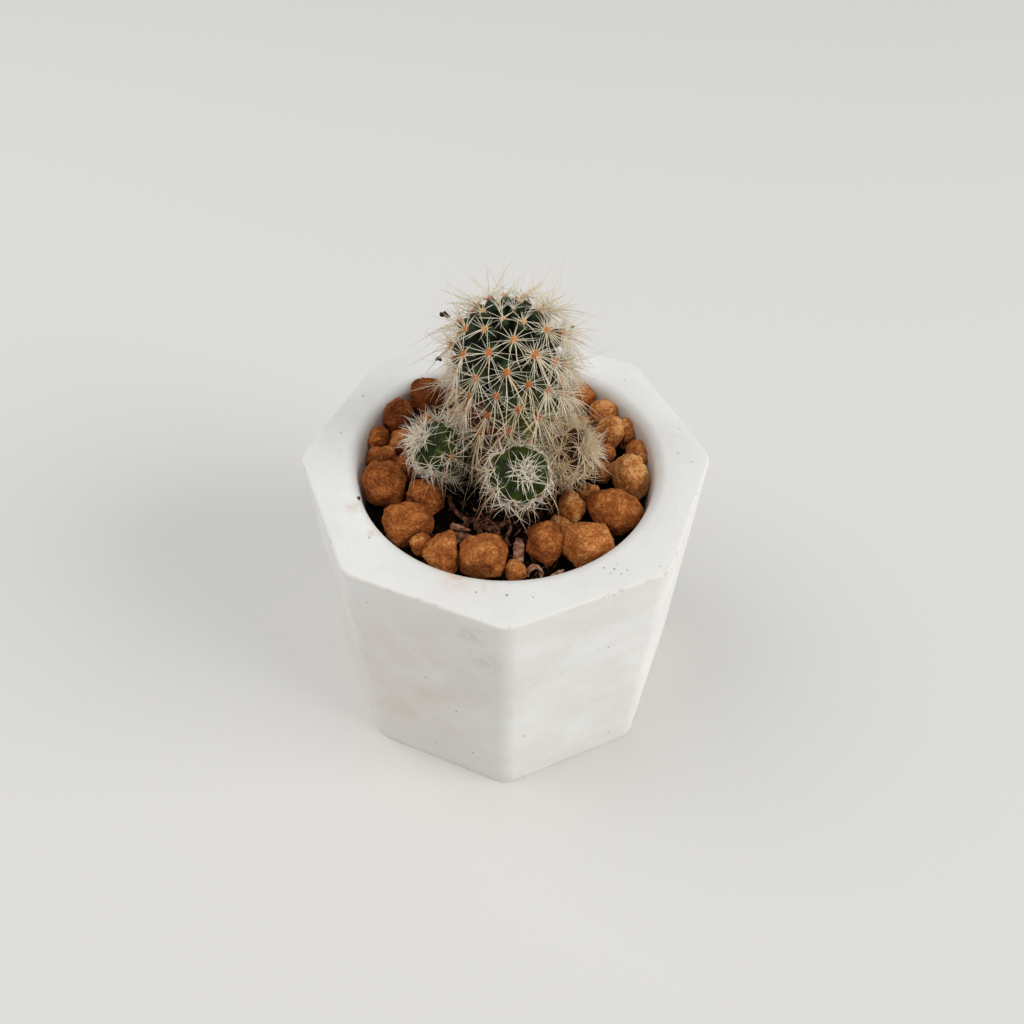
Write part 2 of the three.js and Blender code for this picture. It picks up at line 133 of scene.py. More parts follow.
@dataclass(frozen=True)
class Brush:
    """What a finish is painted with: a node tree, its shader, and where patterns take place."""

    tree: Tree
    shader: Node
    place: Socket

    def noise(self, grain: float, detail: float) -> Socket:
        """Adds a noise whose blotches are about one size.

        Args:
            grain: the blotches' size in mm.
            detail: how many finer octaves it has.

        Returns:
            The noise, from 0 to 1.
        """
        sizes = {"Scale": 1 / (grain * MM), "Detail": detail}
        return add_node(self.tree, "TexNoise", sizes, {"Vector": self.place}).outputs["Fac"]

    def spread(self, value: Socket, low: float, high: float) -> Socket:
        """Spreads a value so that low becomes 0 and high becomes 1, and returns it."""
        ends = {"From Min": low, "From Max": high}
        return add_node(self.tree, "MapRange", ends, {"Value": value}).outputs["Result"]

    def patches(self, grain: float, detail: float, low: float, high: float) -> Socket:
        """Returns a noise of a grain in mm, spread so that low becomes 0 and high becomes 1."""
        return self.spread(self.noise(grain, detail), low, high)

    def combine(self, operation: str, first: Socket, second: Socket | float) -> Socket:
        """Adds, multiplies or compares two values.

        Args:
            operation: the name of what is done.
            first: a node's output.
            second: another output, or a number.

        Returns:
            The result.
        """
        linked = isinstance(second, Socket)
        values = {} if linked else {1: second}
        links = {0: first} | ({1: second} if linked else {})
        return add_node(self.tree, "Math", values, links, operation=operation).outputs[0]

    def times(self, first: Socket, *others: Socket | float) -> Socket:
        """Returns the product of a node's output and more outputs or numbers."""
        return reduce(partial(self.combine, "MULTIPLY"), others, first)

    def coat(self, under: Socket, over: Socket | str, *cover: Socket | float) -> Socket:
        """Lays one colour over another.

        Args:
            under: the lower colour.
            over: the upper colour, an output or a hex colour.
            cover: patterns and numbers whose product is how much of the upper colour shows.

        Returns:
            The mixed colour.
        """
        first, second, result = 6, 7, 2  # the colour sockets of a Mix node
        linked = isinstance(over, Socket)
        values = {} if linked else {second: over}
        links = {0: self.times(*cover), first: under} | ({second: over} if linked else {})
        return add_node(self.tree, "Mix", values, links, data_type="RGBA").outputs[result]

    def attribute(self, name: str) -> Socket:
        """Returns a number that the mesh stores under a name."""
        return add_node(self.tree, "Attribute", attribute_name=name).outputs["Fac"]

    def ramp(self, value: Socket, *stops: Stop) -> Socket:
        """Returns the colour that a value from 0 to 1 has among stops."""
        return add_node(self.tree, "ValToRGB", links={"Fac": value}, stops=stops).outputs["Color"]

    def stretched(self, scale: Triple) -> "Brush":
        """Returns a brush whose patterns are squeezed by a scale along each axis."""
        mapping = add_node(self.tree, "Mapping", {"Scale": scale}, {"Vector": self.place})
        return replace(self, place=mapping.outputs["Vector"])

    def pores(self, apart: float, size: float, empty: float) -> Socket:
        """Scatters round specks.

        Args:
            apart: the distance between them in mm.
            size: their radius as a share of that.
            empty: the share of the places left empty.

        Returns:
            1 in a speck and 0 elsewhere.
        """
        scale = {"Scale": 1 / (apart * MM)}
        cells = add_node(self.tree, "TexVoronoi", scale, {"Vector": self.place}).outputs
        inside = self.spread(cells["Distance"], size * 1.4, size * 0.7)
        kept = add_node(self.tree, "SeparateXYZ", links={"Vector": cells["Color"]}).outputs["X"]
        return self.times(inside, self.combine("GREATER_THAN", kept, empty))

    def drive(self, name: str, value: Socket) -> None:
        """Links a value to one of the shader's inputs."""
        self.tree.links.new(value, self.shader.inputs[name])

    def emboss(self, *layers: tuple[Socket, float]) -> None:
        """Gives the surface relief finer than its mesh.

        Args:
            layers: heights from 0 to 1, each with its depth in mm.
        """
        normal = None
        for height, depth in layers:
            links = {"Height": height} | ({"Normal": normal} if normal else {})
            bump = add_node(self.tree, "Bump", {"Strength": 1.0, "Distance": depth * MM}, links)
            normal = bump.outputs["Normal"]
        self.drive("Normal", normal)


@dataclass(frozen=True)
class Finish:
    """A surface: what it is made of and how it was made. Each kind paints its own pattern."""

    name: str
    roughness: float
    ior: float = 1.5
    gloss: float = 0.5

    def material(self) -> bpy.types.Material:
        """Finds this finish's material, or makes it the first time.

        Returns:
            The material.
        """
        made = bpy.data.materials.get(self.name)
        if made:
            return made
        made = bpy.data.materials.new(self.name)
        made.use_nodes = True
        tree = made.node_tree
        tree.nodes.clear()
        settings = {"Roughness": self.roughness, "IOR": self.ior, "Specular IOR Level": self.gloss}
        shader = add_node(tree, "BsdfPrincipled", settings)
        add_node(tree, "OutputMaterial", links={"Surface": shader.outputs["BSDF"]})
        self.paint(Brush(tree, shader, add_node(tree, "TexCoord").outputs["Object"]))
        return made

    def paint(self, brush: Brush) -> None:
        """Paints the pattern with a brush."""
        raise NotImplementedError


@dataclass(frozen=True)
class CastConcrete(Finish):
    """White fibre-free concrete, cast in a mould and sanded on the rim: matt and chalky, with
    pinholes, faint cloudy patches, a worn edge painted cream, partly as a painted highlight,
    and rubbed darker in patches, and a little clay dust from the granules."""

    # Marks: where each is and how far it reaches in mm, and its colour.
    dust: tuple[tuple[float, float, float, float, str], ...] = (
        (-8.0, -28.0, 57.9, 3.4, "#D9A074"),
        (-3.0, -29.0, 58.0, 2.2, "#D9A074"),
        (-26.6, -12.6, 58.4, 1.8, "#CDA68C"),
        (-22.6, -18.4, 58.4, 1.5, "#CDA68C"),
    )
    smudges: tuple[tuple[float, float, float, float, str], ...] = (
        (-3.0, -36.0, 46.5, 4.2, "#B7A79C"),
        (-5.5, -35.4, 53.5, 3.4, "#C2B4AA"),
        (-13.0, -32.4, 40.0, 22.0, "#E2D3CB"),
        (-18.0, -30.4, 16.0, 22.0, "#DFCDBD"),
        (-30.0, -20.0, 30.0, 24.0, "#DDD0C6"),
    )

    def paint(self, brush: Brush) -> None:
        """Paints clouds, streaked walls, a worn edge with a painted highlight, marks and pinholes.

        Args:
            brush: what they are painted with.
        """
        colour = brush.ramp(brush.noise(16, 4), (0.3, "#E6E5E1"), (0.7, "#F0F0ED"))
        facing = add_node(brush.tree, "NewGeometry").outputs["Normal"]
        up = add_node(brush.tree, "SeparateXYZ", links={"Vector": facing}).outputs["Z"]
        wall = brush.combine("LESS_THAN", up, 0.5)
        colour = brush.coat(colour, "#E6DAD1", wall, brush.patches(13, 2, 0.4, 0.7), 0.22)
        streaks = brush.stretched((1.0, 1.0, 2.4)).patches(11, 3, 0.45, 0.85)
        colour = brush.coat(colour, "#D2C6BD", wall, streaks, 0.2)
        colour = brush.coat(colour, "#CFCFCB", brush.patches(1.5, 4, 0.55, 0.8), 0.25)
        # Worn edge: a pale cream that is partly a painted highlight, and darker rubbed patches.
        worn_and_highlight = brush.attribute("worn_and_highlight")
        colour = brush.coat(colour, "#EFEADF", worn_and_highlight, 0.5)
        colour = brush.coat(colour, "#A08A78", worn_and_highlight, brush.patches(2.1, 4, 0.58, 0.7), 0.3)
        for x, y, z, reach, tint in (*self.dust, *self.smudges):
            ends = {1: (x * MM, y * MM, z * MM)}, {0: brush.place}
            away = add_node(brush.tree, "VectorMath", *ends, operation="DISTANCE").outputs["Value"]
            near = brush.spread(away, reach * MM, 0.0)
            colour = brush.coat(colour, tint, near, brush.patches(reach * 0.4, 3, 0.3, 0.68), 0.6)
        colour = brush.coat(colour, "#6B635B", brush.pores(4.6, 0.045, 0.55), 0.75)
        brush.drive("Base Color", colour)
        grit, sanding, swells = brush.noise(0.35, 2), brush.noise(2.4, 3), brush.noise(9, 2)
        brush.emboss((grit, 0.03), (sanding, 0.09), (swells, 0.2))


@dataclass(frozen=True)
class PottingSoil(Finish):
    """Peat and charcoal fines, damp: nearly black, with brown fibres and no gloss."""

    def paint(self, brush: Brush) -> None:
        """Paints dark crumbs.

        Args:
            brush: what they are painted with.
        """
        crumbs = brush.noise(1.1, 5)
        colour = brush.ramp(crumbs, (0.35, "#0B0604"), (0.55, "#1C100A"), (0.72, "#3A2418"))
        brush.drive("Base Color", colour)
        brush.emboss((brush.noise(0.4, 4), 0.16), (crumbs, 0.3))


@dataclass(frozen=True)
class BakedClay(Finish):
    """Low-fired clay, broken and sieved: dry, porous and earthy, each granule its own shade with
    painted light and shade mixed in, rusty iron specks, pale mineral grains and a dusty fine grain."""

    def paint(self, brush: Brush) -> None:
        """Paints shades, which hold painted light and shade, rust, dust and dark grains.

        Args:
            brush: what they are painted with.
        """
        shade = brush.attribute("tone")
        for grain, detail, strength in ((2.6, 4, 0.5), (0.45, 5, 0.54)):
            shade = brush.combine("ADD", shade, brush.times(brush.noise(grain, detail), strength))
        stops = ((0.63, "#673013"), (0.79, "#9E5A2A"), (0.9, "#BE763C"), (1.0, "#DDA468"))
        colour = brush.ramp(shade, *stops)
        colour = brush.coat(colour, "#73300E", brush.patches(1.1, 5, 0.55, 0.72), 0.4)
        colour = brush.coat(colour, "#E0B27C", brush.patches(0.5, 3, 0.62, 0.76), 0.3)
        colour = brush.coat(colour, "#4E2410", brush.pores(0.9, 0.16, 0.72), 0.6)
        brush.drive("Base Color", colour)
        brush.emboss((brush.noise(0.25, 3), 0.1), (brush.noise(0.8, 4), 0.22))


@dataclass(frozen=True)
class CactusSkin(Finish):
    """Living cactus skin: waxy and smooth, dark blue-green, with painted shade that makes it near
    black between the tubercles and lighter on them, a painted highlight on the side the lamp
    lights, and turning corky and brown low on an old stem."""

    # valley is near black: painted shade in the hollows between the tubercles.
    valley: str = "#070A03"
    flank: str = "#1B2410"
    tip: str = "#3C4A2B"
    # painted_highlight is a paler colour painted where the lamp falls.
    painted_highlight: str = "#83863C"
    fleck: str = "#7C8560"
    wrinkle_depth: float = 0.05
    corky_roughness: float = 0.9

    def paint(self, brush: Brush) -> None:
        """Paints greens with painted shade and highlight, corky scars and pale flecks.

        Args:
            brush: what they are painted with.
        """
        # Painted shade: the colour darkens to near black in the hollows between the tubercles.
        relief = ((0.0, self.valley), (0.55, self.flank), (1.0, self.tip))
        colour = brush.ramp(brush.attribute("rise"), *relief)
        colour = brush.coat(colour, self.tip, brush.patches(1.3, 4, 0.45, 0.75), 0.35)
        # Painted highlight: the paler colour where the lamp falls.
        colour = brush.coat(colour, self.painted_highlight, brush.attribute("painted_light"), 0.85)
        corky = brush.times(brush.attribute("scar"), brush.patches(1.6, 4, 0.3, 0.55))
        browns = ((0.35, "#4A1F12"), (0.52, "#8A4028"), (0.7, "#B98463"))
        colour = brush.coat(colour, brush.ramp(brush.noise(0.8, 4), *browns), corky)
        colour = brush.coat(colour, self.fleck, brush.pores(0.55, 0.16, 0.6), 0.4)
        brush.drive("Base Color", colour)
        ends = {"To Min": self.roughness, "To Max": self.corky_roughness}
        dull = add_node(brush.tree, "MapRange", ends, {"Value": corky}).outputs["Result"]
        brush.drive("Roughness", dull)
        brush.emboss((brush.noise(0.3, 3), self.wrinkle_depth), (brush.noise(1.1, 2), 0.08))


@dataclass(frozen=True)
class SpineKeratin(Finish):
    """Dry woody spine fibre: glassy white when young, then straw-coloured, pinkish when old."""

    def paint(self, brush: Brush) -> None:
        """Paints spines by age.

        Args:
            brush: what they are painted with.
        """
        young = ((0.0, "#F9F3E4"), (0.35, "#F0E0C2"), (0.6, "#E0C391"))
        old = ((0.8, "#C99C78"), (1.0, "#8F5E42"))
        brush.drive("Base Color", brush.ramp(brush.attribute("age"), *young, *old))


@dataclass(frozen=True)
class AreoleFelt(Finish):
    """Matted hairs of an areole: cream when young, orange felt when grown, brown when old."""

    def paint(self, brush: Brush) -> None:
        """Paints felt by age, with darker hairs.

        Args:
            brush: what it is painted with.
        """
        stops = ((0.0, "#F0E6CF"), (0.3, "#DDB27A"), (0.55, "#CF7A3E"), (1.0, "#8C4424"))
        colour = brush.ramp(brush.attribute("age"), *stops)
        colour = brush.coat(colour, "#A4481C", brush.patches(0.22, 2, 0.5, 0.66), 0.5)
        brush.drive("Base Color", colour)
        brush.emboss((brush.noise(0.12, 2), 0.06))


@dataclass(frozen=True)
class DryPlant(Finish):
    """Dead plant matter, dried in the pot: streaky along its fibres, matt, paler at torn edges."""

    dark: str = "#3A2016"
    middle: str = "#6E4530"
    pale: str = "#A47A5E"
    streak: Triple = (1.0, 1.0, 1.0)

    def paint(self, brush: Brush) -> None:
        """Paints streaks.

        Args:
            brush: what they are painted with.
        """
        along = brush.stretched(self.streak)
        fibres = along.noise(0.9, 5)
        colour = brush.ramp(fibres, (0.32, self.dark), (0.5, self.middle), (0.7, self.pale))
        brush.drive("Base Color", colour)
        brush.emboss((along.noise(0.35, 3), 0.1), (fibres, 0.15))


@dataclass(frozen=True)
class PaintedBoard(Finish):
    """A pale painted studio board, plain and matt."""

    colour: str = "#E2E1DD"

    def paint(self, brush: Brush) -> None:
        """Paints one pale colour with a brush."""
        brush.shader.inputs["Base Color"].default_value = linear(self.colour)


CONCRETE = CastConcrete("white_concrete_cast", 0.86, 1.5, 0.3)
SOIL = PottingSoil("damp_peat_soil", 0.94, 1.4, 0.15)
CLAY = BakedClay("low_fired_clay_broken", 0.93, 1.5, 0.12)
STEM_SKIN = CactusSkin("cactus_skin_grown", 0.46, 1.42, 0.16)
# Skin colours: valley, flank, tip, painted highlight and fleck.
YOUNG_GREENS = ("#0C1101", "#2B390A", "#475A17", "#74802A", "#8A9468")
OFFSET_SKIN = CactusSkin("cactus_skin_young", 0.36, 1.42, 0.2, *YOUNG_GREENS, 0.02)
CORKY_BROWNS = ("#1A0D07", "#4A2C1B", "#7E5A3E", "#96784C", "#A08868")
CORKY_SKIN = CactusSkin("cactus_skin_corky", 0.8, 1.42, 0.1, *CORKY_BROWNS, 0.06)
SPINE = SpineKeratin("spine_fibre_dry", 0.5)
FELT = AreoleFelt("areole_felt_matted", 0.95)
BARK = DryPlant("dead_bark_dried", 0.9, 1.5, 0.2)
SCRAP = DryPlant("dead_skin_torn", 0.9, 1.5, 0.2, "#1E0E08", "#54311F", "#94664A")
GRIT = DryPlant("dark_grit_caught", 0.9, 1.5, 0.2, "#0C0605", "#24130D", "#4A2E22")
HUSK = DryPlant("dry_husk_curled", 0.85, 1.5, 0.3, "#6A3B26", "#A8745A", "#DDB79C")
WITHERED = DryPlant(
    "withered_skin_papery", 0.82, 1.5, 0.3, "#5A4038", "#A38C82", "#DCD0CC", (1.0, 1.0, 0.3)
)
BOARD = PaintedBoard("painted_board_matt", 0.9)


# ---------------------------------------------------------------- bench tools


def put_down() -> None:
    """Deselects everything, so that the next operator acts on new work alone."""
    bpy.ops.object.select_all(action="DESELECT")


def pick_up(piece: Piece) -> Piece:
    """Makes a piece the only selected one, and the active one.

    Args:
        piece: the piece.

    Returns:
        The same piece.
    """
    put_down()
    piece.select_set(True)
    bpy.context.view_layer.objects.active = piece
    return piece


@contextmanager
def editing(piece: Piece) -> Iterator[None]:
    """Holds a piece in edit mode with nothing selected.

    Args:
        piece: the piece to edit.

    Yields:
        Nothing.
    """
    pick_up(piece)
    bpy.ops.object.mode_set(mode="EDIT")
    bpy.ops.mesh.select_all(action="DESELECT")
    try:
        yield
    finally:
        bpy.ops.object.mode_set(mode="OBJECT")


def choose(piece: Piece, kind: str, test: Callable[[object], bool]) -> int:
    """Selects what passes a test, in edit mode, and nothing else.

    Args:
        piece: the piece in edit mode.
        kind: "verts", "edges" or "faces".
        test: tells whether one of them is selected.

    Returns:
        How many were selected.
    """
    bpy.ops.mesh.select_mode(type={"verts": "VERT", "edges": "EDGE", "faces": "FACE"}[kind])
    bpy.ops.mesh.select_all(action="DESELECT")
    mesh = bmesh.from_edit_mesh(piece.data)
    chosen = [element for element in getattr(mesh, kind) if test(element)]
    for element in chosen:
        element.select_set(True)
    bmesh.update_edit_mesh(piece.data)
    return len(chosen)


def points_of(piece: Piece) -> np.ndarray:
    """Reads a piece's points.

    Args:
        piece: the piece.

    Returns:
        A row for each point, in metres.
    """
    points = np.empty(len(piece.data.vertices) * 3)
    piece.data.vertices.foreach_get("co", points)
    return points.reshape(-1, 3)


def move_points(piece: Piece, points: np.ndarray) -> None:
    """Moves a piece's points.

    Args:
        piece: the piece.
        points: where they go, in metres.
    """
    piece.data.vertices.foreach_set("co", np.ascontiguousarray(points, dtype=float).ravel())
    piece.data.update()


def mark(piece: Piece, name: str, values: np.ndarray, domain: str = "POINT") -> None:
    """Stores one number for each point or face, which a finish reads by name.

    Args:
        piece: the piece.
        name: the attribute's name.
        values: the numbers.
        domain: "POINT" or "FACE".
    """
    attribute = piece.data.attributes.new(name, "FLOAT", domain)
    attribute.data.foreach_set("value", np.ascontiguousarray(values, dtype=np.float32))


def apply_modifier(piece: Piece, kind: str, **settings: object) -> None:
    """Adds a modifier and applies it.

    Args:
        piece: the piece it acts on.
        kind: the modifier's type.
        settings: its settings.
    """
    pick_up(piece)
    modifier = piece.modifiers.new(kind.lower(), kind)
    for name, value in settings.items():
        setattr(modifier, name, value)
    bpy.ops.object.modifier_apply(modifier=modifier.name)


def roughen(piece: Piece, grain: float, depth: float, octaves: int = 2) -> None:
    """Pushes a piece's skin in and out by a cloud pattern.

    Args:
        piece: the piece.
        grain: the lumps' size in mm.
        depth: their height in mm.
        octaves: how many finer layers of lumps there are.
    """
    name = f"lumps_{grain}_{octaves}"
    texture = bpy.data.textures.get(name) or bpy.data.textures.new(name, "CLOUDS")
    texture.noise_scale = grain * MM
    texture.noise_depth = octaves
    settings = {"texture": texture, "strength": depth * MM, "mid_level": 0.5}
    apply_modifier(piece, "DISPLACE", texture_coords="LOCAL", **settings)


def smooth(piece: Piece, degrees: float = 35.0) -> None:
    """Shades a piece smooth except over edges sharper than an angle in degrees."""
    pick_up(piece)
    bpy.ops.object.shade_smooth_by_angle(angle=math.radians(degrees))


def settle(
    piece: Piece, name: str, finish: Finish, nodes: Sequence[str] = ()
) -> Piece:
    """Finishes a piece: its name, its material, and the CAD nodes that it stands for.

    Args:
        piece: the piece, with its place in its mesh or on its object.
        name: its name.
        finish: what it is made of.
        nodes: the CAD nodes it replaces.

    Returns:
        The piece.
    """
    pick_up(piece)
    bpy.ops.object.transform_apply(location=True, rotation=True, scale=True)
    piece.name = piece.data.name = name
    piece.data.materials.clear()
    piece.data.materials.append(finish.material())
    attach(piece, "root")
    if nodes:
        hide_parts(*nodes)
    LOG.info("%s: %d faces, %s", name, len(piece.data.polygons), finish.name)
    return piece


def copy_of_node(node: str) -> Piece:
    """Copies a CAD node's mesh and merges its loose triangles.

    Args:
        node: the node's name.

    Returns:
        A new object with the copy.
    """
    piece = bpy.data.objects.new(node + "_copy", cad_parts[node].data.copy())
    bpy.context.scene.collection.objects.link(piece)
    with editing(piece):
        bpy.ops.mesh.select_all(action="SELECT")
        bpy.ops.mesh.remove_doubles(threshold=1e-6)
        bpy.ops.mesh.customdata_custom_splitnormals_clear()
    return piece


def new_piece(name: str, points: np.ndarray, faces: list[Sequence[int]]) -> Piece:
    """Makes an object from points and faces.

    Args:
        name: its name.
        points: its points, in metres.
        faces: the points of each face.

    Returns:
        The object.
    """
    mesh = bpy.data.meshes.new(name)
    mesh.from_pydata(points.tolist(), [], faces)
    mesh.update()
    piece = bpy.data.objects.new(name, mesh)
    bpy.context.scene.collection.objects.link(piece)
    return piece


def remesh(piece: Piece, voxel: float, passes: int) -> None:
    """Gives a piece one even skin and wears its edges.

    Args:
        piece: the piece.
        voxel: the size of the skin's faces in mm.
        passes: how often it is smoothed.
    """
    piece.data.remesh_voxel_size = voxel * MM
    pick_up(piece)
    bpy.ops.object.voxel_remesh()
    apply_modifier(piece, "SMOOTH", factor=0.5, iterations=passes)


def pebble(subdivisions: int) -> tuple[np.ndarray, np.ndarray]:
    """Models the small ball that loose bits are reshaped from.

    Args:
        subdivisions: how finely it is divided.

    Returns:
        Its points, at a radius of 1, and the points of each face.
    """
    put_down()
    bpy.ops.mesh.primitive_ico_sphere_add(subdivisions=subdivisions, radius=1.0)
    ball = bpy.context.object
    points = points_of(ball)
    faces = np.array([face.vertices[:] for face in ball.data.polygons])
    bpy.data.objects.remove(ball)
    return points, faces


def heap(name: str, bits: Sequence[np.ndarray], faces: np.ndarray) -> Piece:
    """Makes one piece of bits that are all reshaped from one.

    Args:
        name: the piece's name.
        bits: each bit's points, in mm.
        faces: the points of each face of one bit.

    Returns:
        The piece.
    """
    index = np.vstack([faces + number * len(bit) for number, bit in enumerate(bits)])
    return new_piece(name, np.vstack(bits) * MM, index.tolist())


def joined_balls(balls: Sequence[tuple[float, ...]], subdivisions: int, scale: Triple) -> Piece:
    """Models balls and joins them.

    Args:
        balls: each ball's place and radius in mm.
        subdivisions: how finely each is divided.
        scale: how each is drawn out along the axes.

    Returns:
        One piece of all of them.
    """
    put_down()
    made = []
    for x, y, z, radius in balls:
        place = (x * MM, y * MM, z * MM)
        bpy.ops.mesh.primitive_ico_sphere_add(
            subdivisions=subdivisions, radius=radius * MM, location=place, scale=scale
        )
        made.append(bpy.context.object)
    for ball in made:
        ball.select_set(True)
    bpy.ops.object.join()
    return bpy.context.object


def unit(vector: np.ndarray) -> np.ndarray:
    """Returns a vector at length 1."""
    return vector / max(float(np.linalg.norm(vector)), 1e-9)


# ---------------------------------------------------------------- pot


@dataclass
class CastPot:
    """The pot: a straight eight-sided prism with rounded corners, a round mouth and a soft lip."""

    across_flats: float = 70.0
    height: float = 58.6
    corner_radius: float = 4.5
    corner_steps: int = 8
    flat_steps: int = 10
    edge_bevel: float = 0.55
    mouth_radius: float = 29.6
    lip_depth: float = 2.0
    lip_draft: float = 2.2
    lip_steps: int = 8
    cavity_floor: float = 9.0
    cavity_floor_radius: float = 23.6
    cavity_steps: int = 8
    cavity_rounding: float = 2.0
    pinhole_share: float = 0.75
    pinhole_depth: float = 3.0
    # Pinholes on the rim: where each is, and its radius.
    pinholes: tuple[Triple, ...] = (
        (-23.1, -19.4, 0.28),
        (-4.9, -30.6, 0.24),
        (0.0, -31.2, 0.36),
        (4.2, -31.6, 0.2),
        (31.8, 0.7, 0.26),
        (34.0, -1.5, 0.22),
        (25.2, -25.5, 0.2),
        (33.0, 7.2, 0.2),
        (15.9, -25.8, 0.24),
        (16.9, -26.9, 0.2),
        (17.6, -26.0, 0.26),
        (18.7, -27.0, 0.22),
        (19.7, -26.3, 0.2),
        (18.2, -25.0, 0.16),
        (-31.0, 6.0, 0.24),
        (-28.0, 16.5, 0.3),
        (-12.0, 30.0, 0.22),
        (9.0, 31.0, 0.26),
        (24.0, 21.5, 0.2),
    )

    def build(self) -> Piece:
        """Models the pot.

        Returns:
            The finished pot.
        """
        half = math.pi / 8
        put_down()
        bpy.ops.mesh.primitive_cylinder_add(
            vertices=8,
            radius=self.across_flats / 2 / math.cos(half) * MM,
            depth=self.height * MM,
            location=(0, 0, self.height / 2 * MM),
        )
        pot = bpy.context.object
        bpy.ops.object.transform_apply(location=True)
        self.round_corners(pot, half)
        self.open_mouth(pot)
        self.bevel_edges(pot)
        self.prick(pot)
        self.mark_worn_and_highlit_edges(pot)
        smooth(pot, 24)
        return settle(pot, "cast_pot", CONCRETE, ["pot"])

    def round_corners(self, pot: Piece, half: float) -> None:
        """Rounds the upright edges and divides the flats, so that the rim matches the mouth.

        Args:
            pot: the prism.
            half: half the angle between two flats.
        """
        with editing(pot):
            choose(pot, "edges", lambda edge: abs(edge.verts[0].co.z - edge.verts[1].co.z) > 0.01)
            setback = self.corner_radius * math.tan(half) * MM
            bpy.ops.mesh.bevel(offset=setback, segments=self.corner_steps, affect="EDGES")
            choose(
                pot,
                "edges",
                lambda edge: abs(edge.verts[0].co.z - edge.verts[1].co.z) < NEAR
                and edge.calc_length() > 0.01,
            )
            bpy.ops.mesh.subdivide(number_cuts=self.flat_steps - 1)

    def open_mouth(self, pot: Piece) -> None:
        """Opens the top, bridges the rim to a round mouth, and draws the cavity down from it.

        Args:
            pot: the prism with rounded corners.
        """
        top = self.height * MM
        with editing(pot):
            choose(pot, "faces", lambda face: face.normal.z > 0.9)
            bpy.ops.mesh.delete(type="ONLY_FACE")
            bpy.ops.mesh.primitive_circle_add(
                vertices=8 * (self.corner_steps + self.flat_steps),
                radius=self.mouth_radius * MM,
                location=(0, 0, top),
            )
            choose(
                pot,
                "edges",
                lambda edge: len(edge.link_faces) < 2
                and all(v.co.z > top - NEAR for v in edge.verts),
            )
            bpy.ops.mesh.bridge_edge_loops()
            choose(pot, "edges", lambda edge: edge.is_boundary)
            self.draw_down(self.cavity_outline())
            bpy.ops.mesh.edge_face_add()
            bpy.ops.mesh.select_all(action="SELECT")
            bpy.ops.mesh.normals_make_consistent(inside=False)

    def cavity_outline(self) -> list[tuple[float, float]]:
        """Works out the cavity: a rounded lip, a tapering wall and a rounded floor.

        Returns:
            Radius and height of each ring, from the mouth down.
        """
        rings = []
        for step in range(1, self.lip_steps + 1):
            angle = (1 - step / self.lip_steps) * math.pi / 2
            radius = self.mouth_radius - self.lip_draft * math.cos(angle)
            rings.append((radius, self.height - self.lip_depth * (1 - math.sin(angle))))
        wall_radius, wall_top = rings[-1]
        wall_foot = self.cavity_floor + self.cavity_rounding
        for step in range(1, self.cavity_steps + 1):
            share = step / self.cavity_steps
            radius = wall_radius + share * (self.cavity_floor_radius - wall_radius)
            rings.append((radius, wall_top + share * (wall_foot - wall_top)))
        rings.append((self.cavity_floor_radius - self.cavity_rounding, self.cavity_floor))
        return rings

    def draw_down(self, rings: Sequence[tuple[float, float]]) -> None:
        """Extrudes the selected mouth through a row of rings.

        Args:
            rings: radius and height of each ring.
        """
        radius, height = self.mouth_radius, self.height
        for next_radius, next_height in rings:
            drop = (0, 0, (next_height - height) * MM)
            bpy.ops.mesh.extrude_region_move(TRANSFORM_OT_translate={"value": drop})
            share = next_radius / radius
            bpy.ops.transform.resize(value=(share, share, 1))
            radius, height = next_radius, next_height

    def outermost(self) -> float:
        """Returns how far from the axis the outer skin's points all are, in metres."""
        return (self.across_flats / 2 - 1) * MM

    def bevel_edges(self, pot: Piece) -> None:
        """Wears the outer edge of the rim and of the foot.

        Args:
            pot: the hollow pot.
        """
        outer = self.outermost()
        ends = (0.0, self.height * MM)
        with editing(pot):
            choose(
                pot,
                "edges",
                lambda edge: any(all(abs(v.co.z - z) < NEAR for v in edge.verts) for z in ends)
                and all(v.co.xy.length > outer for v in edge.verts),
            )
            bpy.ops.mesh.bevel(offset=self.edge_bevel * MM, segments=4, affect="EDGES")

    def prick(self, pot: Piece) -> None:
        """Opens the pinholes with small round cutters.

        Args:
            pot: the hollow pot.
        """
        holes = [(x, y, self.height, radius * self.pinhole_share) for x, y, radius in self.pinholes]
        cutter = joined_balls(holes, 2, (1, 1, self.pinhole_depth))
        apply_modifier(pot, "BOOLEAN", object=cutter, operation="DIFFERENCE", solver="EXACT")
        bpy.data.objects.remove(cutter)

    def mark_worn_and_highlit_edges(self, pot: Piece) -> None:
        """Marks the faces of the worn bevels, which lean and lie outermost; they get wear and a
        painted highlight.

        Args:
            pot: the pot with its bevels.
        """
        outer = self.outermost()
        worn_and_highlight = [
            float(0.15 < abs(face.normal.z) < 0.97 and face.center.xy.length > outer)
            for face in pot.data.polygons
        ]
        mark(pot, "worn_and_highlight", np.array(worn_and_highlight), "FACE")


# ---------------------------------------------------------------- soil and top dressing


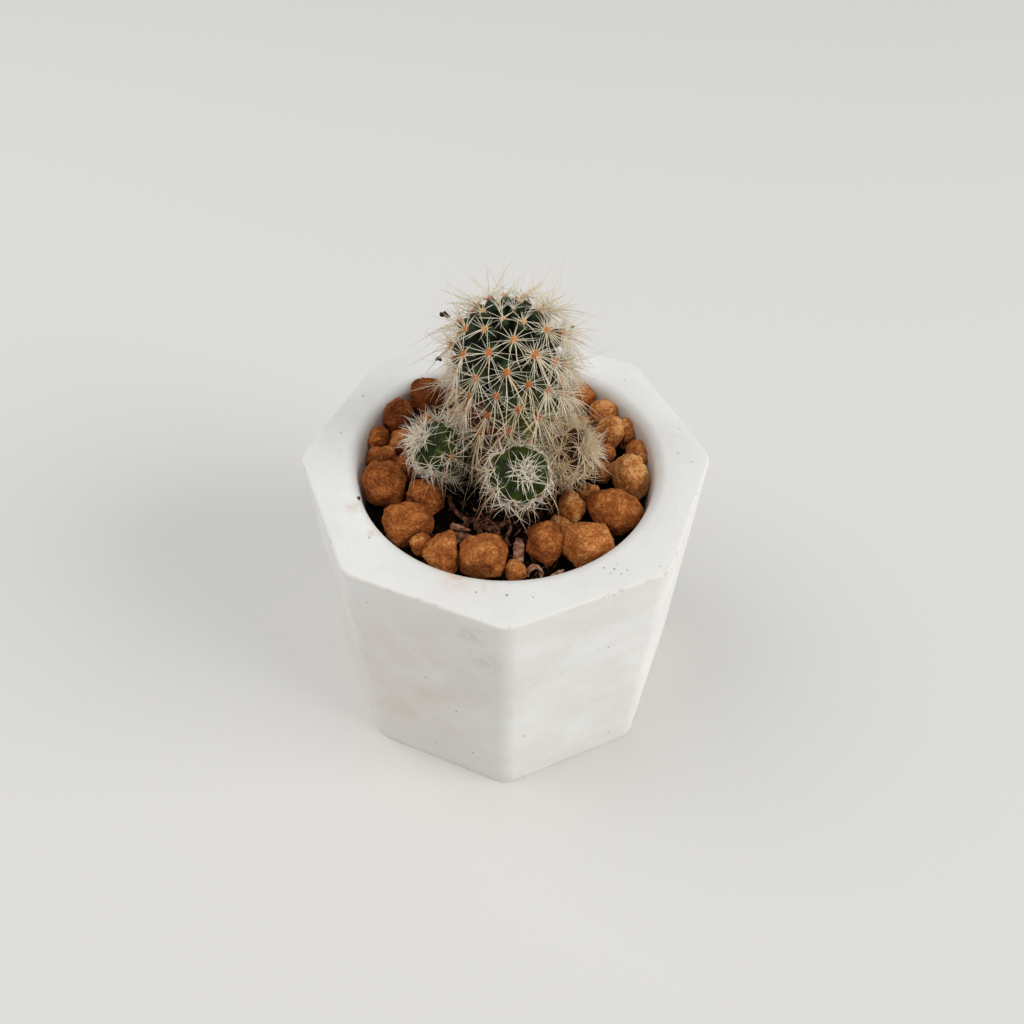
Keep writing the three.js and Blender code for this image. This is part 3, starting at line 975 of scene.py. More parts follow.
@dataclass
class PottedSoil:
    """The soil that fills the pot, loose crumbs on it, and fine dead roots."""

    level: float = 50.0
    radius: float = 26.5
    foot: float = 9.4
    foot_radius: float = 21.2
    unevenness: float = 0.5
    crumbs: int = 420
    rootlets: int = 70
    margin: float = 4.0
    seed: int = 11

    def build(self) -> list[Piece]:
        """Models the soil.

        Returns:
            The soil, its crumbs and its rootlets.
        """
        return [self.fill(), self.scatter_crumbs(), self.lay_rootlets()]

    def fill(self) -> Piece:
        """Models the soil's body, with an uneven top, and keeps it inside the pot.

        Returns:
            The body.
        """
        put_down()
        bpy.ops.mesh.primitive_cylinder_add(
            vertices=64,
            radius=self.radius * MM,
            depth=(self.level - self.foot) * MM,
            location=(0, 0, (self.level + self.foot) / 2 * MM),
            end_fill_type="TRIFAN",
        )
        soil = bpy.context.object
        bpy.ops.object.transform_apply(location=True)
        with editing(soil):
            choose(soil, "faces", lambda face: face.normal.z > 0.9)
            bpy.ops.mesh.subdivide(number_cuts=14)
        points = points_of(soil)
        top = points[:, 2] > (self.level - 0.01) * MM
        low = points[:, 2] < (self.foot + 0.01) * MM
        points[low, :2] *= self.foot_radius / self.radius
        rng = np.random.default_rng(self.seed)
        points[top, 2] -= rng.random(top.sum()) * self.unevenness * MM
        move_points(soil, points)
        roughen(soil, grain=2.6, depth=1.1, octaves=3)
        points = points_of(soil)
        away = np.hypot(points[:, 0], points[:, 1])
        heights, radii = (self.foot, self.level), (self.foot_radius, self.radius)
        limit = np.interp(points[:, 2] / MM, heights, radii) * MM
        points[:, :2] *= np.minimum(1, limit / np.maximum(away, 1e-9))[:, None]
        move_points(soil, points)
        smooth(soil, 50)
        return settle(soil, "potting_soil", SOIL, ["soil"])

    def scatter_crumbs(self) -> Piece:
        """Models loose crumbs of peat between the granules.

        Returns:
            One piece of all the crumbs.
        """
        ball, faces = pebble(1)
        rng = np.random.default_rng(self.seed + 1)
        crumbs = []
        for _ in range(self.crumbs):
            out, turn = self.radius * 0.96 * math.sqrt(rng.random()), rng.random() * 2 * math.pi
            size = 0.25 + 0.55 * rng.random() ** 2
            lumps = ball * (0.7 + 0.6 * rng.random((len(ball), 1))) * size
            lumps = lumps * (0.7 + 0.6 * rng.random(3))
            lift = self.level + 0.1 + 0.3 * rng.random()
            crumbs.append(lumps + (out * math.cos(turn), out * math.sin(turn), lift))
        piece = heap("soil_crumbs", crumbs, faces)
        smooth(piece, 40)
        return settle(piece, "soil_crumbs", SOIL)

    def lay_rootlets(self) -> Piece:
        """Models fine dead roots that lie on the soil, most of them in front of the plant.

        Returns:
            One piece of all the roots.
        """
        rng = np.random.default_rng(self.seed + 2)
        bundle = Strands(6)
        for _ in range(self.rootlets):
            x, y, lift = rng.normal(-1.5, 7.0), rng.normal(-13.0, 5.0), 0.5 + rng.random() * 1.4
            if math.hypot(x, y) > self.radius - self.margin:
                continue
            turn = rng.random() * 2 * math.pi
            along = np.array([math.cos(turn), math.sin(turn), rng.normal(0, 0.25)])
            bend = np.array([-math.sin(turn), math.cos(turn), -0.3]) * rng.normal(0, 0.45)
            length, radius = 2.0 + 4.0 * rng.random(), 0.09 + 0.12 * rng.random()
            bundle.add(np.array([x, y, self.level + lift]), along, bend, length, radius, 0.0)
        return settle(bundle.build("dead_rootlets"), "dead_rootlets", BARK)


@dataclass
class TopDressing:
    """The baked clay granules, each worn round from its CAD hull."""

    voxel: float = 0.17
    worn_passes: int = 3
    breaks: int = 11
    swelling: float = 0.3
    seed: int = 5
    shade: float = 0.325
    # Painted shade: granules are painted darker towards the left, away from the lamp, by this per
    # mm.
    painted_shade_across: float = 0.0025
    shade_spread: float = 0.03
    # Granules set paler or darker than the rest: partly their own tones, partly painted light on
    # lit ones and painted shade on shaded ones.
    tones_and_painted_light: dict[str, float] = field(
        default_factory=lambda: {
            "granule_14": 0.06,
            "granule_09": -0.14,
            "granule_07": -0.04,
            "granule_01": -0.02,
            "granule_31": -0.14,
            "granule_32": -0.1,
            "granule_37": -0.06,
        }
    )

    def build(self) -> list[Piece]:
        """Models every granule.

        Returns:
            The granules.
        """
        names = sorted(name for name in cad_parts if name.startswith("granule_"))
        rng = np.random.default_rng(self.seed)
        return [self.granule(name, rng) for name in names]

    def granule(self, node: str, rng: np.random.Generator) -> Piece:
        """Models one granule.

        Args:
            node: its CAD node.
            rng: where its shade comes from.

        Returns:
            The granule.
        """
        piece = copy_of_node(node)
        self.break_off(piece, rng)
        remesh(piece, self.voxel, self.worn_passes)
        apply_modifier(piece, "DISPLACE", strength=self.swelling * MM, mid_level=0.0)
        roughen(piece, grain=3.2, depth=0.9, octaves=1)
        roughen(piece, grain=1.0, depth=0.5, octaves=3)
        middle = points_of(piece).mean(axis=0) / MM
        # A granule's tone: its own shade, painted shade towards the left, and its listed painted
        # light or shade.
        tone = self.shade + self.painted_shade_across * middle[0] + rng.normal(0, self.shade_spread)
        tone += self.tones_and_painted_light.get(node, 0.0)
        mark(piece, "tone", np.full(len(piece.data.vertices), tone))
        smooth(piece, 60)
        return settle(piece, "clay_" + node, CLAY, [node])

    def break_off(self, piece: Piece, rng: np.random.Generator) -> None:
        """Breaks broad flats off a granule, as crushing does.

        Args:
            piece: the granule.
            rng: where the flats' directions come from.
        """
        for _ in range(self.breaks):
            points = points_of(piece)
            middle = (points.min(axis=0) + points.max(axis=0)) / 2
            towards = unit(rng.normal(0, 1, 3) * (1, 1, 0.8))
            reach = ((points - middle) @ towards).max() * rng.uniform(0.76, 0.93)
            with editing(piece):
                bpy.ops.mesh.select_all(action="SELECT")
                cut = middle + towards * reach
                bpy.ops.mesh.bisect(plane_co=cut, plane_no=towards, use_fill=True, clear_outer=True)


# ---------------------------------------------------------------- spines


class Strands:
    """A bundle of tapered, curved spines or hairs, all bent from one modelled strand."""

    BLUNTNESS = 2.2  # how long a spine keeps its thickness before it narrows to its tip
    WAVES = 7.5  # how far round a wavering spine's wave goes, in radians

    def __init__(self, steps: int) -> None:
        """Models the straight strand that the others are bent from.

        Args:
            steps: how many lengths it has, each of which can bend.
        """
        self.rows: list[tuple[np.ndarray, ...]] = []
        put_down()
        bpy.ops.mesh.primitive_cone_add(
            vertices=3, radius1=1.0, depth=1.0, location=(0, 0, 0.5), end_fill_type="NOTHING"
        )
        cone = bpy.context.object
        bpy.ops.object.transform_apply(location=True)
        with editing(cone):
            for step in range(1, steps):
                bpy.ops.mesh.select_all(action="SELECT")
                bpy.ops.mesh.bisect(plane_co=(0, 0, step / steps), plane_no=(0, 0, 1))
        self.shape = points_of(cone)
        self.faces = [tuple(face.vertices) for face in cone.data.polygons]
        bpy.data.objects.remove(cone)

    def add(
        self,
        at: np.ndarray,
        along: np.ndarray,
        bend: np.ndarray,
        length: float,
        radius: float,
        age: float,
        kink: float = 0.0,
    ) -> None:
        """Adds a strand.

        Args:
            at: where it starts, in mm.
            along: the direction it starts in.
            bend: how far its tip is drawn aside, as a share of its length.
            length: its length in mm.
            radius: its radius at its foot in mm.
            age: its age from 0 to 1, which colours it.
            kink: how far it wavers, as a share of its length.
        """
        self.rows.append((at, unit(along), bend, np.array([length, radius, age, kink])))

    def build(self, name: str) -> Piece:
        """Makes one piece of all the strands.

        Args:
            name: its name.

        Returns:
            The piece.
        """
        at, along, bend, sizes = (np.array(column) for column in zip(*self.rows))
        length, radius, age, kink = (column[:, None] for column in sizes.T)
        height = np.clip(self.shape[:, 2], 0, 1)[None, :]
        # The cone narrows evenly. A spine keeps its thickness and narrows near its tip.
        slim = (1 - height**self.BLUNTNESS) / np.maximum(1 - height, 1e-3)
        across_x, across_y = (self.shape[None, :, axis] * slim * radius for axis in (0, 1))
        side = np.cross(along, np.where(np.abs(along[:, 2:]) < 0.9, [[0, 0, 1.0]], [[1.0, 0, 0]]))
        side /= np.linalg.norm(side, axis=1, keepdims=True)
        phase = at.sum(axis=1, keepdims=True)
        waver = kink * length * np.sin(height * self.WAVES + phase) * height
        centre = at[:, None, :] + length[..., None] * (
            along[:, None, :] * height[..., None] + bend[:, None, :] * (height**2)[..., None]
        )
        centre = centre + side[:, None, :] * waver[..., None]
        tangent = along[:, None, :] + 2 * bend[:, None, :] * height[..., None]
        tangent /= np.linalg.norm(tangent, axis=2, keepdims=True)
        u = side[:, None, :] - (side[:, None, :] * tangent).sum(axis=2, keepdims=True) * tangent
        u /= np.maximum(np.linalg.norm(u, axis=2, keepdims=True), 1e-6)
        v = np.cross(tangent, u)
        points = centre + u * across_x[..., None] + v * across_y[..., None]
        count = len(self.shape)
        starts = range(0, len(at) * count, count)
        faces = [[corner + start for corner in face] for start in starts for face in self.faces]
        piece = new_piece(name, points.reshape(-1, 3) * MM, faces)
        mark(piece, "age", np.repeat(age, count))
        pick_up(piece)
        bpy.ops.object.shade_smooth()
        return piece


@dataclass
class Areole:
    """A felted cushion on a tubercle's tip, which the spines grow from. Places are in mm."""

    at: np.ndarray
    out: np.ndarray
    number: int
    size: float = 0.5
    age: float = 0.6


class Felt:
    """The felt cushions of a stem's areoles."""

    def __init__(self) -> None:
        """Models the small round cushion that the others are copied from."""
        self.shape, self.faces = pebble(2)

    def build(self, name: str, areoles: Sequence[Areole]) -> Piece:
        """Makes one piece of all the cushions.

        Args:
            name: its name.
            areoles: where the cushions are.

        Returns:
            The piece.
        """
        rng = np.random.default_rng(len(areoles))
        cushions = []
        for areole in areoles:
            side = unit(np.cross(areole.out, [0.2, 0.1, 1.0]))
            turn = np.stack([side, np.cross(areole.out, side), areole.out])
            lumps = self.shape * (0.85 + 0.3 * rng.random((len(self.shape), 1)))
            oval = lumps * np.array([0.85, 1.15, 0.7]) * areole.size
            cushions.append(oval @ turn + areole.at + areole.out * 0.1)
        piece = heap(name, cushions, self.faces)
        mark(piece, "age", np.repeat([areole.age for areole in areoles], len(self.shape)))
        smooth(piece, 70)
        return piece


@dataclass
class SpineHabit:
    """How spines grow from an areole: how many, how long, and how far they stand off the skin.

    Lengths and radii are mm, lifts are degrees off the skin, and ages run from 0 to 1.
    """

    radials: int = 20
    length: float = 4.4
    droop: float = 0.35
    lift: tuple[float, float] = (12.0, 34.0)
    curl: float = 0.12
    radius: float = 0.085
    age: float = 0.2
    bristles: int = 0
    bristle_length: float = 8.0
    bristle_age: float = 0.5
    bristle_radius: float = 0.085
    bristle_lift: tuple[float, float] = (22.0, 62.0)
    bristle_sag: float = 0.28
    scatter: float = 0.35
    towards: Triple = (0.0, 0.0, -1.0)

    def grow(
        self, areole: Areole, radials: Strands, bristles: Strands, rng: np.random.Generator
    ) -> None:
        """Grows one areole's spines.

        Args:
            areole: where they grow from.
            radials: the bundle for the short spines of the star.
            bristles: the bundle for the long ones.
            rng: where their irregularity comes from.
        """
        out = areole.out
        down = np.array(self.towards) - np.dot(self.towards, out) * out
        down = unit(down if np.linalg.norm(down) > 0.12 else np.cross(out, [0.3, 1.0, 0.1]))
        side = np.cross(out, down)
        for number in range(self.radials):
            angle = 2 * math.pi * (number + rng.normal(0, self.scatter)) / self.radials
            flat = math.cos(angle) * down + math.sin(angle) * side
            lift = math.radians(rng.uniform(*self.lift))
            along = math.cos(lift) * flat + math.sin(lift) * out
            length = self.length * (1 + self.droop * math.cos(angle)) * rng.uniform(0.6, 1.2)
            bend = -out * self.curl * rng.uniform(0.2, 1.4) + side * rng.normal(0, self.curl * 0.6)
            bend = bend + down * rng.normal(0.03, self.curl * 0.4)
            age = float(np.clip(self.age + rng.normal(0, 0.08), 0, 1))
            start = areole.at + flat * areole.size * 0.5 + out * 0.12
            radius = self.radius * rng.uniform(0.75, 1.15)
            radials.add(start, along, bend, length, radius, age, self.curl * 0.12)
        for _ in range(self.bristles):
            angle = rng.normal(0, 0.75)
            flat = math.cos(angle) * down + math.sin(angle) * side
            lift = math.radians(rng.uniform(*self.bristle_lift))
            along = math.cos(lift) * flat + math.sin(lift) * out
            length = self.bristle_length * rng.uniform(0.7, 1.15)
            sag = np.array([0, 0, -self.bristle_sag]) * rng.uniform(0.2, 1.2)
            bend = sag + side * rng.normal(0, 0.16)
            age = float(np.clip(self.bristle_age + rng.normal(0, 0.1), 0, 1))
            radius = self.bristle_radius * rng.uniform(0.8, 1.2)
            bristles.add(areole.at + out * 0.1, along, bend, length, radius, age, 0.035)


# ---------------------------------------------------------------- stems


@dataclass
class StemForm:
    """A stem's outline about its own axis: a quarter ellipse on a column that narrows down."""

    base: Triple
    grows: Triple
    radius: float
    dome_height: float
    column_length: float
    foot_radius: float
    tubercle_height: float
    steps: int = 200

    def __post_init__(self) -> None:
        """Works out the outline, the skin's length and area above each step, and the turn."""
        angles = np.linspace(0, math.pi / 2, self.steps)
        shares = np.linspace(0, 1, self.steps)[1:]
        column = self.radius + (self.foot_radius - self.radius) * shares**3
        self.r = np.concatenate([self.radius * np.sin(angles), column])
        self.z = np.concatenate([self.dome_height * np.cos(angles), -self.column_length * shares])
        lengths = np.hypot(np.diff(self.r), np.diff(self.z))
        self.arc = np.concatenate([[0], np.cumsum(lengths)])
        self.area = np.concatenate([[0], np.cumsum(math.pi * (self.r[1:] + self.r[:-1]) * lengths)])
        turn = Vector((0, 0, 1)).rotation_difference(Vector(self.grows).normalized()).to_matrix()
        self.turn = np.array(turn)

    def placed(self, local: np.ndarray) -> np.ndarray:
        """Returns points about the stem's own axis as points of the whole plant, in mm."""
        return local @ self.turn.T + np.array(self.base)

    def outline(self, arc: float | np.ndarray) -> tuple[float | np.ndarray, float | np.ndarray]:
        """Returns the radius and height of the outline at a distance along the skin, in mm."""
        return np.interp(arc, self.arc, self.r), np.interp(arc, self.arc, self.z)

    def areole(self, arc: float, angle: float, number: int) -> Areole:
        """Places an areole on the outline.

        Args:
            arc: its distance from the middle of the crown along the skin, in mm.
            angle: where it is round the axis, in radians.
            number: its number from the crown.

        Returns:
            The areole.
        """
        r, z = self.outline(arc)
        (above_r, above_z), (below_r, below_z) = self.outline(arc - 0.2), self.outline(arc + 0.2)
        rise, spread = above_z - below_z, below_r - above_r
        out = unit(np.array([rise * math.cos(angle), rise * math.sin(angle), spread]))
        at = self.placed(np.array([r * math.cos(angle), r * math.sin(angle), z]))
        return Areole(at, self.turn @ out, number)

    def spiral(self, area_each: float, crowding: float, first_angle: float) -> list[Areole]:
        """Lays areoles on a golden-angle spiral from the crown, each with its share of the skin.

        Args:
            area_each: a grown tubercle's share, in mm2.
            crowding: how slowly the young ones spread apart.
            first_angle: where the spiral starts, in radians.

        Returns:
            The areoles, the youngest first.
        """
        areoles = []
        for number in range(1, 400):
            area = area_each * number * number / (number + crowding)
            if area >= self.area[-1]:
                break
            arc = float(np.interp(area, self.area, self.arc))
            areoles.append(self.areole(arc, number * GOLDEN_ANGLE + first_angle, number))
        return areoles

    def skin(
        self,
        around: int,
        rings: int,
        areoles: Sequence[Areole],
        reaches: np.ndarray,
        sharpness: float,
    ) -> tuple[Piece, np.ndarray]:
        """Models the stem's body: a sphere drawn out to the outline and sunk between the tubercles.

        Args:
            around: how many points each ring has.
            rings: how many rings it has.
            areoles: the tubercles' tips.
            reaches: each tubercle's radius in mm.
            sharpness: 1 for a cone and 2 for a dome.

        Returns:
            The body, and how far each point rises to a tubercle's tip, from 0 to 1.
        """
        put_down()
        bpy.ops.mesh.primitive_uv_sphere_add(segments=around, ring_count=rings, radius=1.0)
        body = bpy.context.object
        sphere = points_of(body)
        polar = np.arccos(np.clip(sphere[:, 2], -1, 1)) / math.pi
        angle = np.arctan2(sphere[:, 1], sphere[:, 0])
        arc = polar * self.arc[-1]
        r, z = self.outline(arc)
        r = np.where(polar > 1 - 0.5 / rings, 0, r)
        local = np.stack([r * np.cos(angle), r * np.sin(angle), z], axis=1)
        tips = (np.array([areole.at for areole in areoles]) - np.array(self.base)) @ self.turn
        near = np.linalg.norm(local[:, None, :] - tips[None, :, :], axis=2) / reaches[None, :]
        rise = np.clip(1 - near**sharpness, 0, 1).max(axis=1)
        inward = np.stack([local[:, 0], local[:, 1], np.maximum(local[:, 2], 0)], axis=1)
        inward /= np.maximum(np.linalg.norm(inward, axis=1, keepdims=True), 1e-6)
        local = local - inward * (self.tubercle_height * (1 - rise))[:, None]
        move_points(body, self.placed(local) * MM)
        return body, rise


LEAN = 0.078  # how far the main stem leans to the left, in radians


@dataclass
class MainStem:
    """The main stem: a short column under a flat dome, with tubercles on a golden-angle spiral."""

    form: StemForm = field(
        default_factory=lambda: StemForm(
            base=(0.35, 4.3, 79.8),
            grows=(-math.sin(LEAN), 0.0, math.cos(LEAN)),
            radius=9.5,
            dome_height=8.06,
            column_length=32.8 / math.cos(LEAN),
            foot_radius=6.4,
            tubercle_height=2.3,
        )
    )
    around: int = 168
    down: int = 132
    sharpness: float = 2.3
    ceiling: float = 98.0
    area_each: float = 22.9
    crowding: float = 13.1
    first_angle: float = 1.244
    scars: tuple[tuple[float, float, float, float], ...] = (
        (-4.8, -2.6, 71.0, 3.2),
        (-6.6, -1.1, 69.5, 3.8),
        (-2.8, -3.9, 67.5, 3.6),
        (-8.0, 1.0, 66.0, 4.2),
    )
    seed: int = 21

    def build(self) -> list[Piece]:
        """Models the stem.

        Returns:
            Its body, felt, spines and bristles.
        """
        areoles = self.form.spiral(self.area_each, self.crowding, self.first_angle)
        numbers = np.array([areole.number for areole in areoles])
        reaches = 0.57 * np.sqrt(self.area_each * numbers / (numbers + self.crowding / 2))
        body, rise = self.form.skin(self.around, self.down, areoles, reaches, self.sharpness)
        self.mark_age(body, rise)
        roughen(body, grain=1.6, depth=0.25, octaves=2)
        smooth(body, 180)
        for areole in areoles:
            areole.size = float(np.interp(areole.number, [1, 8, 20], [0.34, 0.62, 0.72]))
            areole.age = float(np.interp(areole.number, [1, 6, 14, 45], [0.1, 0.3, 0.52, 0.75]))
        rng = np.random.default_rng(self.seed)
        radials, bristles = Strands(5), Strands(9)
        for areole in areoles:
            self.habit(areole).grow(areole, radials, bristles, rng)
        self.grow_wisps(areoles, bristles, rng)
        return [
            settle(body, "main_stem_body", STEM_SKIN, ["main_stem"]),
            settle(Felt().build("main_felt", areoles), "main_stem_felt", FELT),
            settle(radials.build("main_radials"), "main_stem_spines", SPINE),
            settle(bristles.build("main_bristles"), "main_stem_bristles", SPINE),
        ]

    def mark_age(self, body: Piece, rise: np.ndarray) -> None:
        """Marks how far each point rises to a tubercle, where the painted highlight falls, and
        scars.

        Args:
            body: the stem's body.
            rise: from 0 between the tubercles to 1 on their tips.
        """
        points = points_of(body) / MM
        mark(body, "rise", rise)
        # Painted highlight on the lower right of the stem, which faces the lamp.
        low = np.clip((79 - points[:, 2]) / 14, 0, 1)
        right = np.clip((points[:, 0] + 3) / 9, 0, 1) * np.clip((2 - points[:, 1]) / 5, 0, 1)
        mark(body, "painted_light", low * right)
        scar = np.clip((66 - points[:, 2]) / 8, 0, 0.8)
        for x, y, z, reach in self.scars:
            away = np.linalg.norm(points - (x, y, z), axis=1)
            scar = np.maximum(scar, np.clip(1.25 - away / reach, 0, 1))
        mark(body, "scar", scar)

    def habit(self, areole: Areole) -> SpineHabit:
        """Tells how an areole's spines grow, by its age and its side of the stem.

        Args:
            areole: the areole.

        Returns:
            Its habit.
        """
        number, x, height = areole.number, areole.out[0], areole.at[2]
        if number <= 3:
            return SpineHabit(
                radials=13, length=2.9, droop=0.0, lift=(36, 74), curl=0.1, radius=0.06, age=0.05
            )
        if number <= 9:
            young = SpineHabit(radials=12, length=3.4, droop=0.25, lift=(16, 46), curl=0.14)
            young.radius, young.age = 0.064, 0.1
            young.bristles, young.bristle_length, young.bristle_age = 1, 6.5, 0.4
            return young
        old = float(np.clip((78 - height) / 26, 0, 1))
        grown = SpineHabit(radials=16, length=4.9, droop=0.3, lift=(8, 32), curl=0.2, radius=0.07)
        grown.age, grown.bristles = 0.16 + 0.4 * old, 3
        grown.bristle_length, grown.bristle_age, grown.bristle_radius = 9.0, 0.5 + 0.16 * old, 0.095
        if x > 0.35 and height > 56:
            shaggy = replace(grown, radials=44, length=5.0, lift=(6, 62), curl=0.22, radius=0.072)
            shaggy.age, shaggy.bristles = 0.2 + 0.3 * old, 4
            shaggy.bristle_length, shaggy.bristle_age, shaggy.bristle_radius = 7.6, 0.42, 0.085
            return shaggy
        if x < -0.45:
            dense = replace(grown, radials=22, length=4.8, lift=(10, 48), curl=0.18, radius=0.074)
            dense.age = 0.22 + 0.42 * old
            dense.bristle_length, dense.bristle_age, dense.bristle_radius = 8.4, 0.5, 0.085
            return dense
        if height < 69 and x < 0.1:
            dry = replace(grown, radials=14, length=4.8, lift=(8, 46), curl=0.24, radius=0.076)
            dry.age, dry.bristle_length, dry.bristle_age, dry.bristle_radius = 0.66, 8.0, 0.78, 0.1
            return dry
        return grown

    def grow_wisps(
        self, areoles: Sequence[Areole], bristles: Strands, rng: np.random.Generator
    ) -> None:
        """Grows the thin hairs that stand off the crown and the sides.

        Args:
            areoles: the stem's areoles.
            bristles: the bundle they go to.
            rng: where their irregularity comes from.
        """
        for areole in areoles:
            if areole.at[2] < 64 or (areole.number > 9 and areole.out[1] < -0.45):
                continue
            for _ in range(2 if areole.number > 6 else 1):
                sideways = rng.normal(0, 0.5, 3)
                along = areole.out + sideways * 0.7 + (0, 0, 0.35)
                bend = rng.normal(0, 0.2, 3) + (0, 0, rng.uniform(-0.28, 0.12))
                length = rng.uniform(6.0, 10.0)
                top = areole.at[2] + length * max(0.0, unit(along)[2] + bend[2])
                if top > self.ceiling:
                    length *= 0.75
                bristles.add(areole.at, along, bend, length, rng.uniform(0.04, 0.06), 0.3, 0.06)


@dataclass
class Offset:
    """A small round offset on a neck, with a tuft of young spines and curly ones round it."""

    name: str
    form: StemForm
    turn: float
    crown_length: float
    crown_radials: int
    ring_radials: int
    ring_length: float
    ring_age: float
    ring_curl: float
    crown_age: float = 0.08
    skin: CactusSkin = OFFSET_SKIN
    # The way that a patch with few spines faces.
    bare: Triple | None = None
    # The ways that single old areoles with long spines face.
    elders: tuple[Triple, ...] = ()
    # The rings of grown areoles: how far down the skin each is, and how many it has.
    rings: tuple[tuple[float, int], ...] = ((1.12, 9), (1.5, 10), (1.95, 9), (2.45, 8))
    around: int = 112
    down: int = 88
    sharpness: float = 2.0
    seed: int = 31

    def build(self) -> list[Piece]:
        """Models the offset.

        Returns:
            Its body, felt and spines.
        """
        crown, sides, elders = self.crown_areoles(), self.ring_areoles(), self.elder_areoles()
        areoles = crown + sides + elders
        reaches = np.repeat([0.75, 1.75], [len(crown), len(sides + elders)])
        body, rise = self.form.skin(self.around, self.down, areoles, reaches, self.sharpness)
        points = points_of(body) / MM
        mark(body, "rise", np.clip(rise * 0.5 + 0.2, 0, 1))
        # Painted highlight on the lower part of the offset.
        mark(body, "painted_light", np.clip((60 - points[:, 2]) / 5, 0, 0.5))
        mark(body, "scar", np.clip((58.5 - points[:, 2]) / 3, 0, 0.9))
        roughen(body, grain=1.4, depth=0.12, octaves=2)
        smooth(body, 180)
        rng = np.random.default_rng(self.seed)
        radials, bristles = Strands(5), Strands(8)
        for areole in crown:
            lift = (22, 60) if areole.number else (45, 80)
            tuft = SpineHabit(self.crown_radials, self.crown_length, 0.0, lift, curl=0.16)
            tuft.radius, tuft.age, tuft.scatter = 0.07, self.crown_age, 0.5
            tuft.grow(areole, radials, bristles, rng)
        for areole in sides:
            self.ring_habit(areole).grow(areole, radials, bristles, rng)
        star = SpineHabit(radials=14, droop=0.2, lift=(8, 40), curl=0.2, radius=0.07, age=0.34)
        for areole in elders:
            star.grow(areole, radials, bristles, rng)
        self.hang_bristles(sides, bristles, rng)
        return [
            settle(body, self.name + "_body", self.skin, [self.name]),
            settle(Felt().build(self.name, areoles), self.name + "_felt", FELT),
            settle(radials.build(self.name), self.name + "_spines", SPINE),
            settle(bristles.build(self.name), self.name + "_bristles", SPINE),
        ]

    def ring_habit(self, areole: Areole) -> SpineHabit:
        """Tells how a grown areole's spines grow, by the way it faces.

        Args:
            areole: the areole.

        Returns:
            Its habit: few short spines on the bare side, curly ones low down, straight ones above.
        """
        if self.bare and float(np.dot(areole.out, unit(np.array(self.bare)))) > 0.72:
            sparse = SpineHabit(radials=9, length=1.9, droop=0.0, lift=(6, 50), curl=0.25)
            return replace(sparse, radius=0.06, age=0.12, scatter=0.5)
        ring = SpineHabit(self.ring_radials, self.ring_length, age=self.ring_age)
        if areole.out[2] < 0.25:
            curly = replace(ring, droop=0.2, lift=(0, 60), curl=0.55, radius=0.084)
            return replace(curly, bristles=1, bristle_length=4.6, bristle_age=0.4)
        straight = replace(ring, length=self.ring_length * 1.15, droop=0.1, lift=(8, 62))
        return replace(straight, curl=self.ring_curl, radius=0.07)

    def crown_areoles(self) -> list[Areole]:
        """Places the young areoles that crowd the crown.

        Returns:
            The areoles, on a golden-angle spiral.
        """
        areoles = []
        for number in range(12):
            arc = 0.52 * math.sqrt(number) * self.form.radius / 4.7 * 1.05
            areole = self.form.areole(arc, number * GOLDEN_ANGLE + self.turn, number)
            areole.size, areole.age = 0.2, 0.05
            areoles.append(areole)
        return areoles

    def ring_areoles(self) -> list[Areole]:
        """Places the grown areoles, in rings round the body.

        Returns:
            The areoles, the highest ring first.
        """
        areoles = []
        for level, (share, count) in enumerate(self.rings):
            for number in range(count):
                angle = 2 * math.pi * (number + 0.5 * (level % 2)) / count + self.turn
                areole = self.form.areole(share * self.form.radius, angle, 20 + number)
                areole.size, areole.age = 0.3, 0.18
                areoles.append(areole)
        return areoles

    def elder_areoles(self) -> list[Areole]:
        """Returns the single old areoles."""
        ways = [unit(np.array(way)) for way in self.elders]
        return [Areole(self.form.base + way * self.form.radius, way, 0, 0.5, 0.5) for way in ways]

    def hang_bristles(
        self, areoles: Sequence[Areole], bristles: Strands, rng: np.random.Generator
    ) -> None:
        """Hangs long, pinkish dead bristles from the underside.

        Args:
            areoles: the grown areoles.
            bristles: the bundle they go to.
            rng: where their irregularity comes from.
        """
        for areole in areoles:
            if areole.at[2] > 64 or rng.random() < 0.45:
                continue
            along = areole.out * 0.8 + rng.normal(0, 0.35, 3) + (0, 0, -0.7)
            bend = np.array([0, 0, -0.3]) + rng.normal(0, 0.2, 3)
            length = min(rng.uniform(4.0, 7.5), max(1.0, (areole.at[2] - 52.5) * 0.95))
            bristles.add(areole.at, along, bend, length, 0.085, 0.82, 0.06)


# ---------------------------------------------------------------- litter


